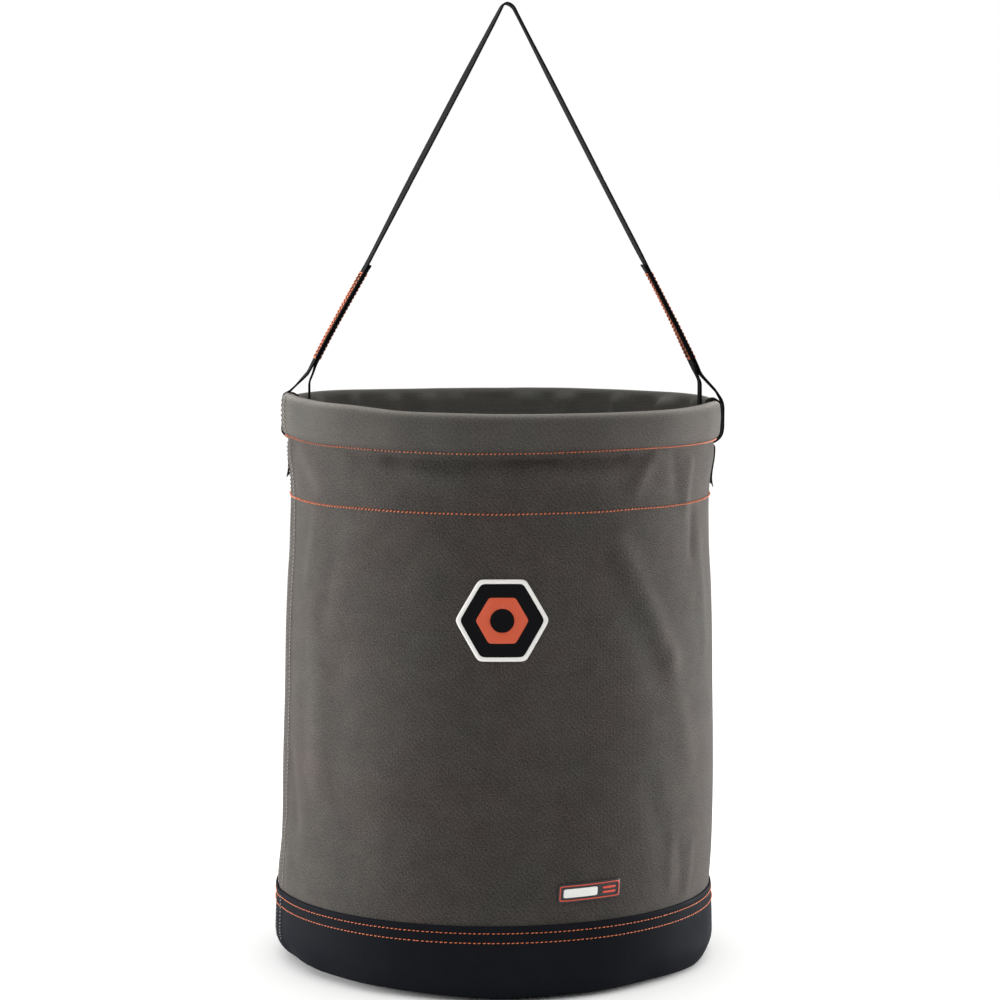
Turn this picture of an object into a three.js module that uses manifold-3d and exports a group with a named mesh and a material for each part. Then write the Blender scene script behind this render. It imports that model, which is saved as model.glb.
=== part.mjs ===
// A canvas hoist bucket: a tube of duck canvas rolled over a hoop at the rim, a leather
// boot round the base, and one flat webbing strap that loops under the rim at both sides
// and meets in a point above the mouth. Millimetres, +Z up, front towards -Y, and the
// bucket stands on Z = 0.

import * as THREE from 'three';
import { mergeVertices } from 'three/addons/utils/BufferGeometryUtils.js';
import Module from 'manifold-3d';

const wasm = await Module();
wasm.setup();

// ---- Driving dimensions ----

const RIM_HEIGHT = 430;
const RIM_RADIUS = 169.3; // outside of the rolled rim
const BASE_RADIUS = 169.3; // outside of the leather boot
const BASE_CORNER = 15; // how far the boot rounds under
const BOOT_HEIGHT = 56.6;
const CREASE_HEIGHT = 402.6; // where the rolled rim meets the wall
const CREASE_RADIUS = 163.3;
const HEM_HEIGHT = 358.4; // second row of stitching below the rim
const WAIST_RADIUS = 161.3; // the wall is narrowest at the hem
const ROLL_RADIUS = 4.35; // half the thickness of the rolled rim

const CANVAS = 1.2;
const LEATHER = 1.5;
const WEBBING = 1.8;
const WEBBING_WIDTH = 25;
const GUARD = 1.2; // thinner webbing that shields the rim from the strap
const GUARD_WIDTH = 30;
const THREAD = 0.6;
const GAP = 0.3; // left between pieces that touch

const APEX_HEIGHT = 732.5; // middle of the strap where it folds over
const STRAP_LEAN = 0.52; // sideways run of each leg for one of height
const STRAP_X = 140.05; // middle of a leg at STRAP_Z
const STRAP_Z = 469.6;
const LAP_TOP = 533; // where the sewn-back end of the strap stops
const INNER_LEG_X = 151;

const SWING_Z = 444.8; // the strap turns over the rim about this height
const DROOP_Z = 632.8; // and folds again here when it hangs outside

const SEGMENTS = 48; // a multiple of 4, so that a corner falls on each side of the bucket

// ---- Turning geometry into solids ----

/** A manifold solid from a closed three.js geometry. */
function solid(geometry) {
  geometry.deleteAttribute('normal');
  geometry.deleteAttribute('uv');
  const merged = mergeVertices(geometry);
  const corners = merged.index.array;
  const triangles = [];
  for (let i = 0; i < corners.length; i += 3) {
    const [a, b, c] = corners.slice(i, i + 3);
    if (a !== b && b !== c && c !== a) triangles.push(a, b, c);
  }
  return new wasm.Manifold(new wasm.Mesh({
    numProp: 3,
    vertProperties: merged.attributes.position.array,
    triVerts: new Uint32Array(triangles),
  }));
}

/** The points of an arc round (cx, cy), with its angles in degrees. */
function arc(cx, cy, radius, from, to, steps) {
  return Array.from({ length: steps + 1 }, (_, i) => {
    const angle = THREE.MathUtils.degToRad(from + ((to - from) * i) / steps);
    return [cx + radius * Math.cos(angle), cy + radius * Math.sin(angle)];
  });
}

/** The outline of a sheet of even thickness whose middle follows the path. */
function sheetOutline(path, thickness) {
  const points = path.map(([x, y]) => new THREE.Vector2(x, y));
  const sides = points.map((point, i) => {
    const before = point.clone().sub(points[Math.max(i - 1, 0)]).normalize();
    const after = points[Math.min(i + 1, points.length - 1)].clone().sub(point).normalize();
    const along = before.clone().add(after).normalize();
    const mitre = 1 / (i > 0 && i < points.length - 1 ? along.dot(after) : 1);
    return new THREE.Vector2(-along.y, along.x).multiplyScalar((mitre * thickness) / 2);
  });
  const left = points.map((point, i) => point.clone().add(sides[i]).toArray());
  const right = points.map((point, i) => point.clone().sub(sides[i]).toArray());
  return [...left, ...right.reverse()];
}

/** The solid of an outline of [radius, height] points turned about Z. */
function revolve(outline) {
  const points = outline.map(([radius, height]) => new THREE.Vector2(radius, height));
  if (THREE.ShapeUtils.isClockWise(points)) points.reverse();
  const turned = new THREE.LatheGeometry([...points, points[0]], SEGMENTS);
  return solid(turned.rotateX(Math.PI / 2));
}

const X = new THREE.Vector3(1, 0, 0);
const Y = new THREE.Vector3(0, 1, 0);
const Z = new THREE.Vector3(0, 0, 1);
const EXTRUDE_BASES = {
  x: new THREE.Matrix4().makeBasis(Y, Z, X),
  y: new THREE.Matrix4().makeBasis(Z, X, Y),
  z: new THREE.Matrix4(),
};

/** A prism along one axis. Its outline is in (Y, Z), (Z, X) or (X, Y). */
function prism(axis, outline, from, to) {
  const shape = new THREE.Shape(outline.map(([u, v]) => new THREE.Vector2(u, v)));
  const geometry = new THREE.ExtrudeGeometry(shape, { depth: to - from, bevelEnabled: false });
  return solid(geometry.translate(0, 0, from).applyMatrix4(EXTRUDE_BASES[axis]));
}

/** A box from its lowest to its highest corner. */
function block(low, high) {
  const size = high.map((value, i) => value - low[i]);
  const centre = high.map((value, i) => (value + low[i]) / 2);
  return solid(new THREE.BoxGeometry(...size).translate(...centre));
}

/** A flat strap: a path of [x, z] points with the strap's width along Y. */
function strap(path, thickness = WEBBING, width = WEBBING_WIDTH) {
  const outline = sheetOutline(path, thickness).map(([x, z]) => [z, x]);
  return prism('y', outline, -width / 2, width / 2);
}

/** A disc or a ring with a flat top and bottom. */
function disc(innerRadius, outerRadius, low, high) {
  return revolve([[innerRadius, low], [outerRadius, low], [outerRadius, high], [innerRadius, high]]);
}

/** A round bar that points away from the Z axis, at an angle in degrees from +X. */
function radialBar(radius, from, to, height, angle) {
  const bar = new THREE.CylinderGeometry(radius, radius, to - from, 16);
  bar.rotateZ(-Math.PI / 2).translate((from + to) / 2, 0, height);
  return solid(bar.rotateZ(THREE.MathUtils.degToRad(angle)));
}

// ---- Finishes and the group ----

const FINISHES = {
  canvas: { color: '#625c57', roughness: 0.95 },
  leather: { color: '#1f2023', roughness: 0.6 },
  webbing: { color: '#1c1d1f', roughness: 0.9 },
  orangeThread: { color: '#d0552a', roughness: 0.7 },
  greyThread: { color: '#b9b4ad', roughness: 0.8 },
  hoopPlastic: { color: '#d9d7d0', roughness: 0.5 },
  steel: { color: '#a8aaad', roughness: 0.35, metalness: 1 },
  boardPlastic: { color: '#2c2d30', roughness: 0.6 },
  patchBlack: { color: '#1a1a1c', roughness: 0.85 },
  patchWhite: { color: '#e6e4df', roughness: 0.8 },
  patchOrange: { color: '#d9552b', roughness: 0.8 },
  rubber: { color: '#18181a', roughness: 0.55 },
};

const bucket = new THREE.Group();
bucket.name = 'hoist_bucket';

/** Adds one named piece in a finish. */
function add(name, piece, finish) {
  const { vertProperties, triVerts } = piece.getMesh();
  const geometry = new THREE.BufferGeometry();
  geometry.setAttribute('position', new THREE.BufferAttribute(vertProperties, 3));
  geometry.setIndex(new THREE.BufferAttribute(triVerts, 1));
  geometry.computeVertexNormals();
  const mesh = new THREE.Mesh(geometry, new THREE.MeshStandardMaterial(FINISHES[finish]));
  mesh.name = name;
  bucket.add(mesh);
}

// ---- Canvas tube: wall, rolled rim and inner facing in one cloth ----

const BOOT_FOOT = BASE_RADIUS - BASE_CORNER; // centre of the rounded corner
const WALL_BASE_RADIUS = BASE_RADIUS - LEATHER - GAP;
const BARREL_LOW = 60;
const BARREL_STEPS = 3;

/** Outside radius of the wall, which swells from the hem down by a quarter of a sine. */
function barrel(height) {
  const share = (HEM_HEIGHT - height) / (HEM_HEIGHT - BARREL_LOW);
  return WAIST_RADIUS + (WALL_BASE_RADIUS - WAIST_RADIUS) * Math.sin((Math.PI / 2) * share);
}

const wallOutside = Array.from({ length: BARREL_STEPS + 1 }, (_, i) => {
  const height = BARREL_LOW + ((HEM_HEIGHT - BARREL_LOW) * i) / BARREL_STEPS;
  return [barrel(height), height];
});
wallOutside.push([CREASE_RADIUS, CREASE_HEIGHT]);

/** Outside of the wall between two heights, as straight stretches, moved out by an offset. */
function wallStretch(low, high, offset) {
  const between = wallOutside.filter(([, height]) => height > low && height < high);
  const ends = [low, high].map((height) => {
    const above = Math.max(wallOutside.findIndex(([, z]) => z >= height), 1);
    const [r0, z0] = wallOutside[above - 1];
    const [r1, z1] = wallOutside[above];
    return [r0 + ((r1 - r0) * (height - z0)) / (z1 - z0), height];
  });
  return [ends[0], ...between, ends[1]].map(([radius, height]) => [radius + offset, height]);
}

/** A layer that lies on the outside of the wall, or inside it with a negative gap. */
function wallLayer(low, high, from, thickness) {
  return revolve(sheetOutline(wallStretch(low, high, from + thickness / 2), thickness));
}

const ROLL_X = RIM_RADIUS - ROLL_RADIUS; // middle of the rolled rim
const ROLL_TOP = RIM_HEIGHT - ROLL_RADIUS; // centre of its rounded top
const ROLL_LOW = CREASE_HEIGHT + ROLL_RADIUS;
const ROLL_PATH = ROLL_RADIUS - CANVAS / 2;
const FACING_X = ROLL_X - ROLL_PATH; // the facing hangs straight from the roll
const FACING_LOW = 352;
const FACING_WAIST = WAIST_RADIUS - CANVAS * 1.5 - GAP;

const canvasPath = [
  [BOOT_FOOT - 3, LEATHER + GAP + CANVAS / 2],
  ...arc(BOOT_FOOT, BASE_CORNER, WALL_BASE_RADIUS - CANVAS / 2 - BOOT_FOOT, -90, 0, 3),
  ...wallOutside.map(([radius, height]) => [radius - CANVAS / 2, height]),
  ...arc(ROLL_X, ROLL_LOW, ROLL_PATH, -75, 0, 2),
  ...arc(ROLL_X, ROLL_TOP, ROLL_PATH, 0, 180, 4),
  [FACING_X, CREASE_HEIGHT],
  [FACING_WAIST, HEM_HEIGHT],
  [FACING_WAIST, FACING_LOW],
];

// Both layers are slit at each side, just under the roll, for the strap to pass through.
const SLIT_Z = 398.4;
const SLIT_HALF = [14, 1.8];
const slits = [-1, 1].map((side) => block(
  [side * 162 - 14, -SLIT_HALF[0], SLIT_Z - SLIT_HALF[1]],
  [side * 162 + 14, SLIT_HALF[0], SLIT_Z + SLIT_HALF[1]],
));
const canvasTube = revolve(sheetOutline(canvasPath, CANVAS));
add('canvas_shell', slits.reduce((cloth, slit) => cloth.subtract(slit), canvasTube), 'canvas');

// ---- Hoop inside the roll, joined by a riveted plate at the side seam ----

const SEAM_ANGLE = 193; // from +X, on the left and a little forward
const HOOP_INNER = FACING_X + CANVAS / 2 + GAP;
const HOOP_OUTER = RIM_RADIUS - CANVAS - GAP;
const HOOP_LOW = 406.5;
const HOOP_HIGH = 426;
const HOOP_MIDDLE = (HOOP_LOW + HOOP_HIGH) / 2;
const PLATE = 1.6;
const PLATE_HALF = [30, 7];
const RIVET_HEIGHT = 0.9;
const RIVET_ANGLES = [-7.5, -3.5, 3.5, 7.5];
const RIVET_RADIUS = 2.2;
const RIVET_HEAD_RADIUS = 3.6;

/** A window that faces the side seam: the space in front of it that a box cuts out. */
function seamWindow(halfWidth, low, high, from, to) {
  const window = block([from, -halfWidth, low], [to, halfWidth, high]);
  return window.rotate([0, 0, SEAM_ANGLE]);
}

const plateLow = HOOP_MIDDLE - PLATE_HALF[1];
const plateHigh = HOOP_MIDDLE + PLATE_HALF[1];
const recess = disc(HOOP_INNER - 1, HOOP_INNER + PLATE + 2 * GAP, plateLow - GAP, plateHigh + GAP)
  .intersect(seamWindow(PLATE_HALF[0] + GAP, HOOP_LOW, HOOP_HIGH, 100, 200));
let hoop = disc(HOOP_INNER, HOOP_OUTER, HOOP_LOW, HOOP_HIGH)
  .subtract(recess)
  .subtract(seamWindow(0.6, HOOP_LOW - 1, HOOP_HIGH + 1, 100, 200));
let splicePlate = disc(HOOP_INNER + GAP, HOOP_INNER + GAP + PLATE, plateLow, plateHigh)
  .intersect(seamWindow(PLATE_HALF[0], HOOP_LOW, HOOP_HIGH, 100, 200));

RIVET_ANGLES.forEach((turn, i) => {
  const angle = SEAM_ANGLE + turn;
  const headFrom = HOOP_OUTER - RIVET_HEIGHT - 2 * GAP;
  const shank = radialBar(RIVET_RADIUS, HOOP_INNER + 2 * GAP, headFrom + 0.2, HOOP_MIDDLE, angle);
  const head = radialBar(RIVET_HEAD_RADIUS, headFrom, headFrom + RIVET_HEIGHT, HOOP_MIDDLE, angle);
  const hole = radialBar(RIVET_RADIUS + GAP, HOOP_INNER - 5, HOOP_OUTER + 5, HOOP_MIDDLE, angle);
  const sink = radialBar(RIVET_HEAD_RADIUS + GAP, headFrom - GAP, HOOP_OUTER + 5, HOOP_MIDDLE, angle);
  hoop = hoop.subtract(hole).subtract(sink);
  splicePlate = splicePlate.subtract(hole);
  add(`hoop_rivet_${i + 1}`, shank.add(head), 'steel');
});
add('rim_hoop', hoop, 'hoopPlastic');
add('hoop_splice_plate', splicePlate, 'hoopPlastic');

// ---- Side seam: the inner flap and its two rows of thread ----

const FLAP_HALF = 8;
const SEAM_ROW_ANGLES = { front: 193.5, rear: 190 };
const SEAM_ROW_HALF = 0.4;

add(
  'side_seam_flap',
  wallLayer(BARREL_LOW + 2, FACING_LOW - 3, -2 * CANVAS - GAP, CANVAS)
    .intersect(seamWindow(FLAP_HALF, 0, RIM_HEIGHT, 100, 200)),
  'canvas',
);
for (const [row, angle] of Object.entries(SEAM_ROW_ANGLES)) {
  const slot = block([100, -SEAM_ROW_HALF, 0], [200, SEAM_ROW_HALF, RIM_HEIGHT]);
  const thread = wallLayer(BARREL_LOW + 1, HEM_HEIGHT - 2, GAP, THREAD);
  add(`seam_stitch_${row}`, thread.intersect(slot.rotate([0, 0, angle])), 'greyThread');
}

// ---- Leather boot and the base ----

const BOOT_INNER_EDGE = BOOT_FOOT - 4;
const PANEL_RADIUS = BOOT_INNER_EDGE - GAP;
const bootPath = [
  [BOOT_INNER_EDGE, LEATHER / 2],
  ...arc(BOOT_FOOT, BASE_CORNER, BASE_CORNER - LEATHER / 2, -90, 0, 3),
  [BASE_RADIUS - LEATHER / 2, BOOT_HEIGHT],
];
const BOARD_LOW = LEATHER + GAP;
const BOARD = 2.5;
const FLOOR_LOW = BOARD_LOW + BOARD + GAP;
const BINDING_LOW = FLOOR_LOW + CANVAS + GAP;

add('base_band', revolve(sheetOutline(bootPath, LEATHER)), 'leather');
add('base_panel', disc(0, PANEL_RADIUS, 0, LEATHER), 'leather');
add('base_stiffener', disc(0, BOOT_FOOT - 8, BOARD_LOW, BOARD_LOW + BOARD), 'boardPlastic');
add('canvas_floor', disc(0, BOOT_FOOT + 2, FLOOR_LOW, FLOOR_LOW + CANVAS), 'canvas');
add('floor_binding', disc(BOOT_FOOT - 4, BOOT_FOOT + 3, BINDING_LOW, BINDING_LOW + CANVAS), 'webbing');

// ---- Rows of orange thread round the bucket ----

/** One round of thread whose middle is at a height, just outside a radius. */
function threadRing(radius, height) {
  return disc(radius + GAP, radius + GAP + THREAD, height - THREAD / 2, height + THREAD / 2);
}

add('rim_stitch', threadRing(CREASE_RADIUS, CREASE_HEIGHT - 1), 'orangeThread');
add('hem_stitch', threadRing(WAIST_RADIUS, HEM_HEIGHT), 'orangeThread');
add('band_stitch_upper', threadRing(BASE_RADIUS, 51.4), 'orangeThread');
add('band_stitch_lower', threadRing(BASE_RADIUS, 44.3), 'orangeThread');

// ---- Strap where it loops round the rim, its guard and the guard's tail ----

const GUARD_MIDDLE = ROLL_RADIUS + GAP + GUARD / 2; // distance from the middle of the roll
const STRAP_MIDDLE = GUARD_MIDDLE + GUARD / 2 + GAP + WEBBING / 2;
const LOOP_TOP = SWING_Z - WEBBING_WIDTH / 2 - 0.6;
const guardPath = [
  [ROLL_X + GUARD_MIDDLE, ROLL_LOW],
  ...arc(ROLL_X, ROLL_TOP, GUARD_MIDDLE, 0, 180, 4),
  [ROLL_X - GUARD_MIDDLE, CREASE_HEIGHT + 2],
];
const TAIL_TOP = 395.6;
const TAIL_FLARE = 3.6;
const TAIL_LOW = { left: 371, right: 362 };

// The outer leg leaves the guard along a 45 degree line, which the strap above carries on.
const [outerTouch] = arc(ROLL_X, ROLL_TOP, STRAP_MIDDLE, 45, 45, 1);
const outerLine = outerTouch[0] + outerTouch[1];
const loopPath = [
  [outerLine - LOOP_TOP, LOOP_TOP],
  ...arc(ROLL_X, ROLL_TOP, STRAP_MIDDLE, 45, 0, 2),
  [ROLL_X + STRAP_MIDDLE, ROLL_LOW],
  [ROLL_X + STRAP_MIDDLE - 0.8, ROLL_LOW - 4.4],
  [ROLL_X + STRAP_MIDDLE - 3.4, SLIT_Z + 1.2],
  [CREASE_RADIUS + 1.2, SLIT_Z],
  [FACING_X - 3.2, SLIT_Z],
  [INNER_LEG_X + 3.3, SLIT_Z + 1.1],
  [INNER_LEG_X + 0.8, SLIT_Z + 4.2],
  [INNER_LEG_X, SLIT_Z + 9],
  [INNER_LEG_X, LOOP_TOP],
];

/** A path or outline of [x, z] points on the left or right of the bucket. */
function onSide(path, side) {
  return path.map(([x, z]) => [side === 'left' ? -x : x, z]);
}

/** The part of a revolved layer near one side, as wide as the guard. */
function sidePatch(layer, side) {
  const half = GUARD_WIDTH / 2;
  const low = side === 'left' ? -200 : 100;
  return layer.intersect(block([low, -half, 0], [low + 100, half, RIM_HEIGHT + 50]));
}

for (const side of ['left', 'right']) {
  const tailLow = TAIL_LOW[side];
  const [lowEnd, highEnd] = wallStretch(tailLow, TAIL_TOP, GAP + GUARD / 2);
  const tailPath = [
    highEnd,
    [THREE.MathUtils.lerp(lowEnd[0], highEnd[0], 0.4), THREE.MathUtils.lerp(tailLow, TAIL_TOP, 0.4)],
    [lowEnd[0] + TAIL_FLARE, tailLow],
  ];
  add(`${side}_rim_guard`, sidePatch(revolve(sheetOutline(guardPath, GUARD)), side), 'webbing');
  add(`${side}_guard_tail`, sidePatch(revolve(sheetOutline(tailPath, GUARD)), side), 'webbing');
  add(`${side}_strap_loop`, strap(onSide(loopPath, side)), 'webbing');
}

// ---- Strap above the rim: two lapped and sewn legs, which swing over the rim ----

const LEAN_COS = 1 / Math.hypot(1, STRAP_LEAN);
const LAP_SHIFT = (WEBBING + GAP) / LEAN_COS; // how far in the lap lies, along X
const SWING_ROUND = WEBBING_WIDTH / 2;

/** Middle of a leg at a height. */
function legX(height) {
  return STRAP_X - STRAP_LEAN * (height - STRAP_Z);
}

/** A round of strap width about a fold line along X, to shape an end that turns there. */
function foldRound(height, radius) {
  return prism('x', arc(0, height, radius, 0, 360 - 15, 23), -200, 200);
}

/** Everything from a height up to well above the apex. */
function above(height) {
  return block([-200, -50, height], [200, 50, 800]);
}

const FORK_Z = (outerLine - STRAP_X - STRAP_LEAN * STRAP_Z) / (1 - STRAP_LEAN);
const FOLD_BOTTOM = SWING_Z - SWING_ROUND - 2;
const LAP_START = (STRAP_X - LAP_SHIFT - INNER_LEG_X) / STRAP_LEAN + STRAP_Z;
const mainPath = [
  [outerLine - FOLD_BOTTOM, FOLD_BOTTOM],
  [outerLine - FORK_Z, FORK_Z],
  [legX(DROOP_Z), DROOP_Z],
];
const lapPath = [
  [INNER_LEG_X, FOLD_BOTTOM],
  [INNER_LEG_X, LAP_START],
  [legX(LAP_TOP) - LAP_SHIFT, LAP_TOP],
];
const swingEnd = above(SWING_Z).add(foldRound(SWING_Z, SWING_ROUND));

// A box with a cross in it holds the lap.
const BOX_STITCH = { low: 462, high: 527, halfWidth: 9.5, thread: 0.9 };

/** The box stitch, flat on Z = 0, with its length along X. */
function boxStitch() {
  const { low, high, halfWidth, thread } = BOX_STITCH;
  const half = (high - low) / LEAN_COS / 2;
  const bar = (x0, y0, x1, y1) => {
    const middle = new THREE.Vector2((x0 + x1) / 2, (y0 + y1) / 2);
    const length = Math.hypot(x1 - x0, y1 - y0) + thread;
    const turned = new THREE.BoxGeometry(length, thread, THREAD);
    return solid(turned.rotateZ(Math.atan2(y1 - y0, x1 - x0)).translate(middle.x, middle.y, 0));
  };
  return [
    bar(-half, -halfWidth, half, -halfWidth),
    bar(-half, halfWidth, half, halfWidth),
    bar(-half, -halfWidth, -half, halfWidth),
    bar(half, -halfWidth, half, halfWidth),
    bar(-half, -halfWidth, half, halfWidth),
    bar(-half, halfWidth, half, -halfWidth),
  ].reduce((stitch, one) => stitch.add(one));
}

for (const side of ['left', 'right']) {
  const sign = side === 'left' ? -1 : 1;
  const main = strap(onSide(mainPath, side))
    .intersect(swingEnd)
    .subtract(foldRound(DROOP_Z, SWING_ROUND + GAP));
  const middle = (BOX_STITCH.low + BOX_STITCH.high) / 2;
  const lift = WEBBING / 2 + GAP + THREAD / 2;
  const lean = THREE.MathUtils.radToDeg(Math.atan2(1, -STRAP_LEAN * sign));
  const stitch = boxStitch().rotate([0, -lean, 0]).translate([
    sign * (legX(middle) + lift * LEAN_COS),
    0,
    middle + lift * LEAN_COS * STRAP_LEAN,
  ]);
  add(`${side}_strap_leg`, main, 'webbing');
  add(`${side}_strap_lap`, strap(onSide(lapPath, side)).intersect(swingEnd), 'webbing');
  add(`${side}_box_stitch`, stitch, 'orangeThread');
}

// ---- Top of the strap: both legs meet in a small round fold ----

const LEAN_ANGLE = THREE.MathUtils.radToDeg(Math.atan(STRAP_LEAN));
const VERTEX_Z = STRAP_Z + STRAP_X / STRAP_LEAN; // where straight legs would meet
const FOLD_RADIUS = (VERTEX_Z - APEX_HEIGHT) / (1 / Math.sin(Math.atan(STRAP_LEAN)) - 1);
const FOLD_Z = APEX_HEIGHT - FOLD_RADIUS;
const DROOP_BOTTOM = DROOP_Z - SWING_ROUND - 2;
const apexPath = [
  [legX(DROOP_BOTTOM), DROOP_BOTTOM],
  ...arc(0, FOLD_Z, FOLD_RADIUS, LEAN_ANGLE, 180 - LEAN_ANGLE, 6),
  [-legX(DROOP_BOTTOM), DROOP_BOTTOM],
];
const droopEnd = above(DROOP_Z).add(foldRound(DROOP_Z, SWING_ROUND));
add('strap_apex', strap(apexPath).intersect(droopEnd), 'webbing');

// ---- Sewn patch on the front and rubber tag near the base ----

/** A hexagon with its flats at top and bottom and rounded corners. */
function roundedHexagon(acrossFlats, corner) {
  const reach = (acrossFlats / 2 - corner) / Math.cos(Math.PI / 6);
  return [0, 60, 120, 180, 240, 300].flatMap((angle) => {
    const turn = THREE.MathUtils.degToRad(angle);
    return arc(reach * Math.cos(turn), reach * Math.sin(turn), corner, angle - 30, angle + 30, 3);
  });
}

/** A rectangle with rounded corners. */
function roundedRectangle(width, height, corner) {
  return [[1, 1, 0], [-1, 1, 90], [-1, -1, 180], [1, -1, 270]].flatMap(([sx, sz, angle]) => {
    const x = sx * (width / 2 - corner);
    const z = sz * (height / 2 - corner);
    return arc(x, z, corner, angle, angle + 90, 2);
  });
}

/** A plate sewn on the wall: an outline of [x, z] points seen from the front, cut from a
 * layer of the wall, then turned round the bucket and tilted. */
function wallPlate(outline, centre, layerFrom, thickness) {
  const { height, angle, tilt } = centre;
  const cutter = prism('y', outline.map(([x, z]) => [z, x]), -30, 30)
    .rotate([0, -tilt, 0])
    .translate([0, -BASE_RADIUS, height])
    .rotate([0, 0, angle]);
  return wallLayer(height - 45, height + 45, layerFrom, thickness).intersect(cutter);
}

/** The band between an outline and the same outline cut smaller. */
function rim(outside, inside, centre, layerFrom, thickness) {
  return wallPlate(outside, centre, layerFrom, thickness)
    .subtract(wallPlate(inside, centre, layerFrom - 1, thickness + 2));
}

const PATCH = { height: 281, angle: 0, tilt: 0 };
const PATCH_FLATS = 59.5;
const PATCH_BASE = 1.1;
const PATCH_RAISED = 0.5;
const patchTop = GAP + PATCH_BASE + GAP;
const hexagon = (acrossFlats) => roundedHexagon(acrossFlats, 3 + acrossFlats / 20);
add('patch_field', wallPlate(hexagon(PATCH_FLATS), PATCH, GAP, PATCH_BASE), 'patchBlack');
add(
  'patch_border',
  rim(hexagon(PATCH_FLATS), hexagon(PATCH_FLATS - 5), PATCH, patchTop, PATCH_RAISED),
  'patchWhite',
);
add('patch_nut', rim(hexagon(33), hexagon(17), PATCH, patchTop, PATCH_RAISED), 'patchOrange');

const TAG = { height: 79.5, angle: 24.3, tilt: 1 };
const TAG_WIDTH = 52;
const TAG_HEIGHT = 14;
const TAG_BASE = 1.3;
const TAG_RAISED = 0.5;
const tagTop = GAP + TAG_BASE + GAP;

/** A rectangle inside the tag, from a middle and a size. */
function tagPart(x, z, width, height, corner) {
  return roundedRectangle(width, height, corner).map(([u, v]) => [u + x, v + z]);
}

const tagEdge = (inset) => tagPart(0, 0, TAG_WIDTH - inset, TAG_HEIGHT - inset, 1.6 - inset / 8);
add('tag_plate', wallPlate(tagEdge(0), TAG, GAP, TAG_BASE), 'rubber');
add('tag_border', rim(tagEdge(1.6), tagEdge(3.6), TAG, tagTop, TAG_RAISED), 'patchOrange');
add('tag_block', wallPlate(tagPart(-8, 0, 28, 5.6, 0.6), TAG, tagTop, TAG_RAISED), 'patchWhite');
for (const [row, z] of [['upper', 1.7], ['lower', -1.7]]) {
  const bar = tagPart(15, z, 12, 1.6, 0.4);
  add(`tag_bar_${row}`, wallPlate(bar, TAG, tagTop, TAG_RAISED), 'patchOrange');
}

export default bucket;
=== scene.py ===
# %% [markdown]
# # A canvas hoist bucket
# A tube of heavy duck canvas is rolled outwards over a hoop at its mouth, and stands in a
# leather boot. One flat webbing strap passes through a slit under the roll at each side, is
# sewn back on itself, and meets in a point above the mouth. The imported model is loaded
# first, because every soft piece below has to ride on one of its bodies.

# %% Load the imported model
import math

import bmesh
import bpy
import numpy as np
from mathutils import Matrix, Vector


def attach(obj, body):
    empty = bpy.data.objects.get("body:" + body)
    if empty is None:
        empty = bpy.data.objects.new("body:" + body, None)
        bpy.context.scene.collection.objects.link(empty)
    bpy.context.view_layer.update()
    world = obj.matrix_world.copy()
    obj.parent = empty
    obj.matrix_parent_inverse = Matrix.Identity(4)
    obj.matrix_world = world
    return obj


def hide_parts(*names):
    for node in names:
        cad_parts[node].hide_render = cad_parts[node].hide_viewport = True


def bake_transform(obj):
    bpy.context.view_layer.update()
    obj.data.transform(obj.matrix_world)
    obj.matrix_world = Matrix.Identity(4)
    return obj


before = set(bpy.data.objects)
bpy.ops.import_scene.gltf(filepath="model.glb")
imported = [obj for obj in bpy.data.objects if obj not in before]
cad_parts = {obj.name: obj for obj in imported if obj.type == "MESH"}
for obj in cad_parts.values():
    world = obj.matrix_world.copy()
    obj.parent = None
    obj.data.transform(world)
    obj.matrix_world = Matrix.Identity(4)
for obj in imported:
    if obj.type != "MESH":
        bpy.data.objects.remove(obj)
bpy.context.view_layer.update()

# %% [markdown]
# ## Working in millimetres
# A maker measures a bucket in millimetres round a tape, so every shape is worked out as
# azimuth, distance from the axis and height, and turned to metres once, when the mesh is
# made. Azimuth is in degrees from +X, anticlockwise from above: the front is 270 and the
# left side, with the strap and the side seam, is 180.

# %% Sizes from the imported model, in mm
MM = 0.001
RIM_HEIGHT = 430.0
RIM_RADIUS = 169.3
CREASE_HEIGHT = 402.6
HEM_HEIGHT = 358.4
BOOT_FOOT = 154.3
CANVAS = 1.2
LEATHER = 1.5
WEBBING = 1.35
WEBBING_WIDTH = 25.0
GUARD = 1.2
GUARD_WIDTH = 30.0
SWING_HEIGHT = 444.8
DROOP_HEIGHT = 632.8
FRONT, LEFT, RIGHT = 270.0, 180.0, 0.0
SEAM_AZIMUTH = 194.5
SEAM_ROWS = (("front", 197.0), ("rear", 192.0))
WALL_RADIUS = 165.0
BOOT_RADIUS = 169.0
CUFF_RADIUS = 169.0
ROUND_WALL = WALL_RADIUS * math.pi / 180  # mm round the wall for each degree
ROUND_BOOT = BOOT_RADIUS * math.pi / 180
random = np.random.default_rng(19)

# %% Small curves
def bell(distance, half_width):
    """A bump of height 1: e to the power of minus half the squared distance in widths."""
    return np.exp(-0.5 * (np.asarray(distance) / half_width) ** 2)


def ease(x, low, high):
    """0 below low, 1 above high, and 3tt - 2ttt between, with t the share of the way."""
    t = np.clip((np.asarray(x) - low) / (high - low), 0, 1)
    return t * t * (3 - 2 * t)


def turned_from(azimuth, centre):
    """Signed angle from centre, wrapped to -180..180, in degrees."""
    return (np.asarray(azimuth) - centre + 180) % 360 - 180


def smooth_curve(places, values, spread):
    """A table of values joined by straight lines, then averaged with a bell of that spread."""
    step = spread / 8
    fine = np.arange(places[0] - 6 * spread, places[-1] + 6 * spread, step)
    weights = bell(np.arange(-3 * spread, 3 * spread + step / 2, step), spread)
    blurred = np.convolve(np.interp(fine, places, values), weights / weights.sum(), "same")
    kept = slice(len(weights), -len(weights))
    return lambda x: np.interp(x, fine[kept], blurred[kept])


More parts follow.
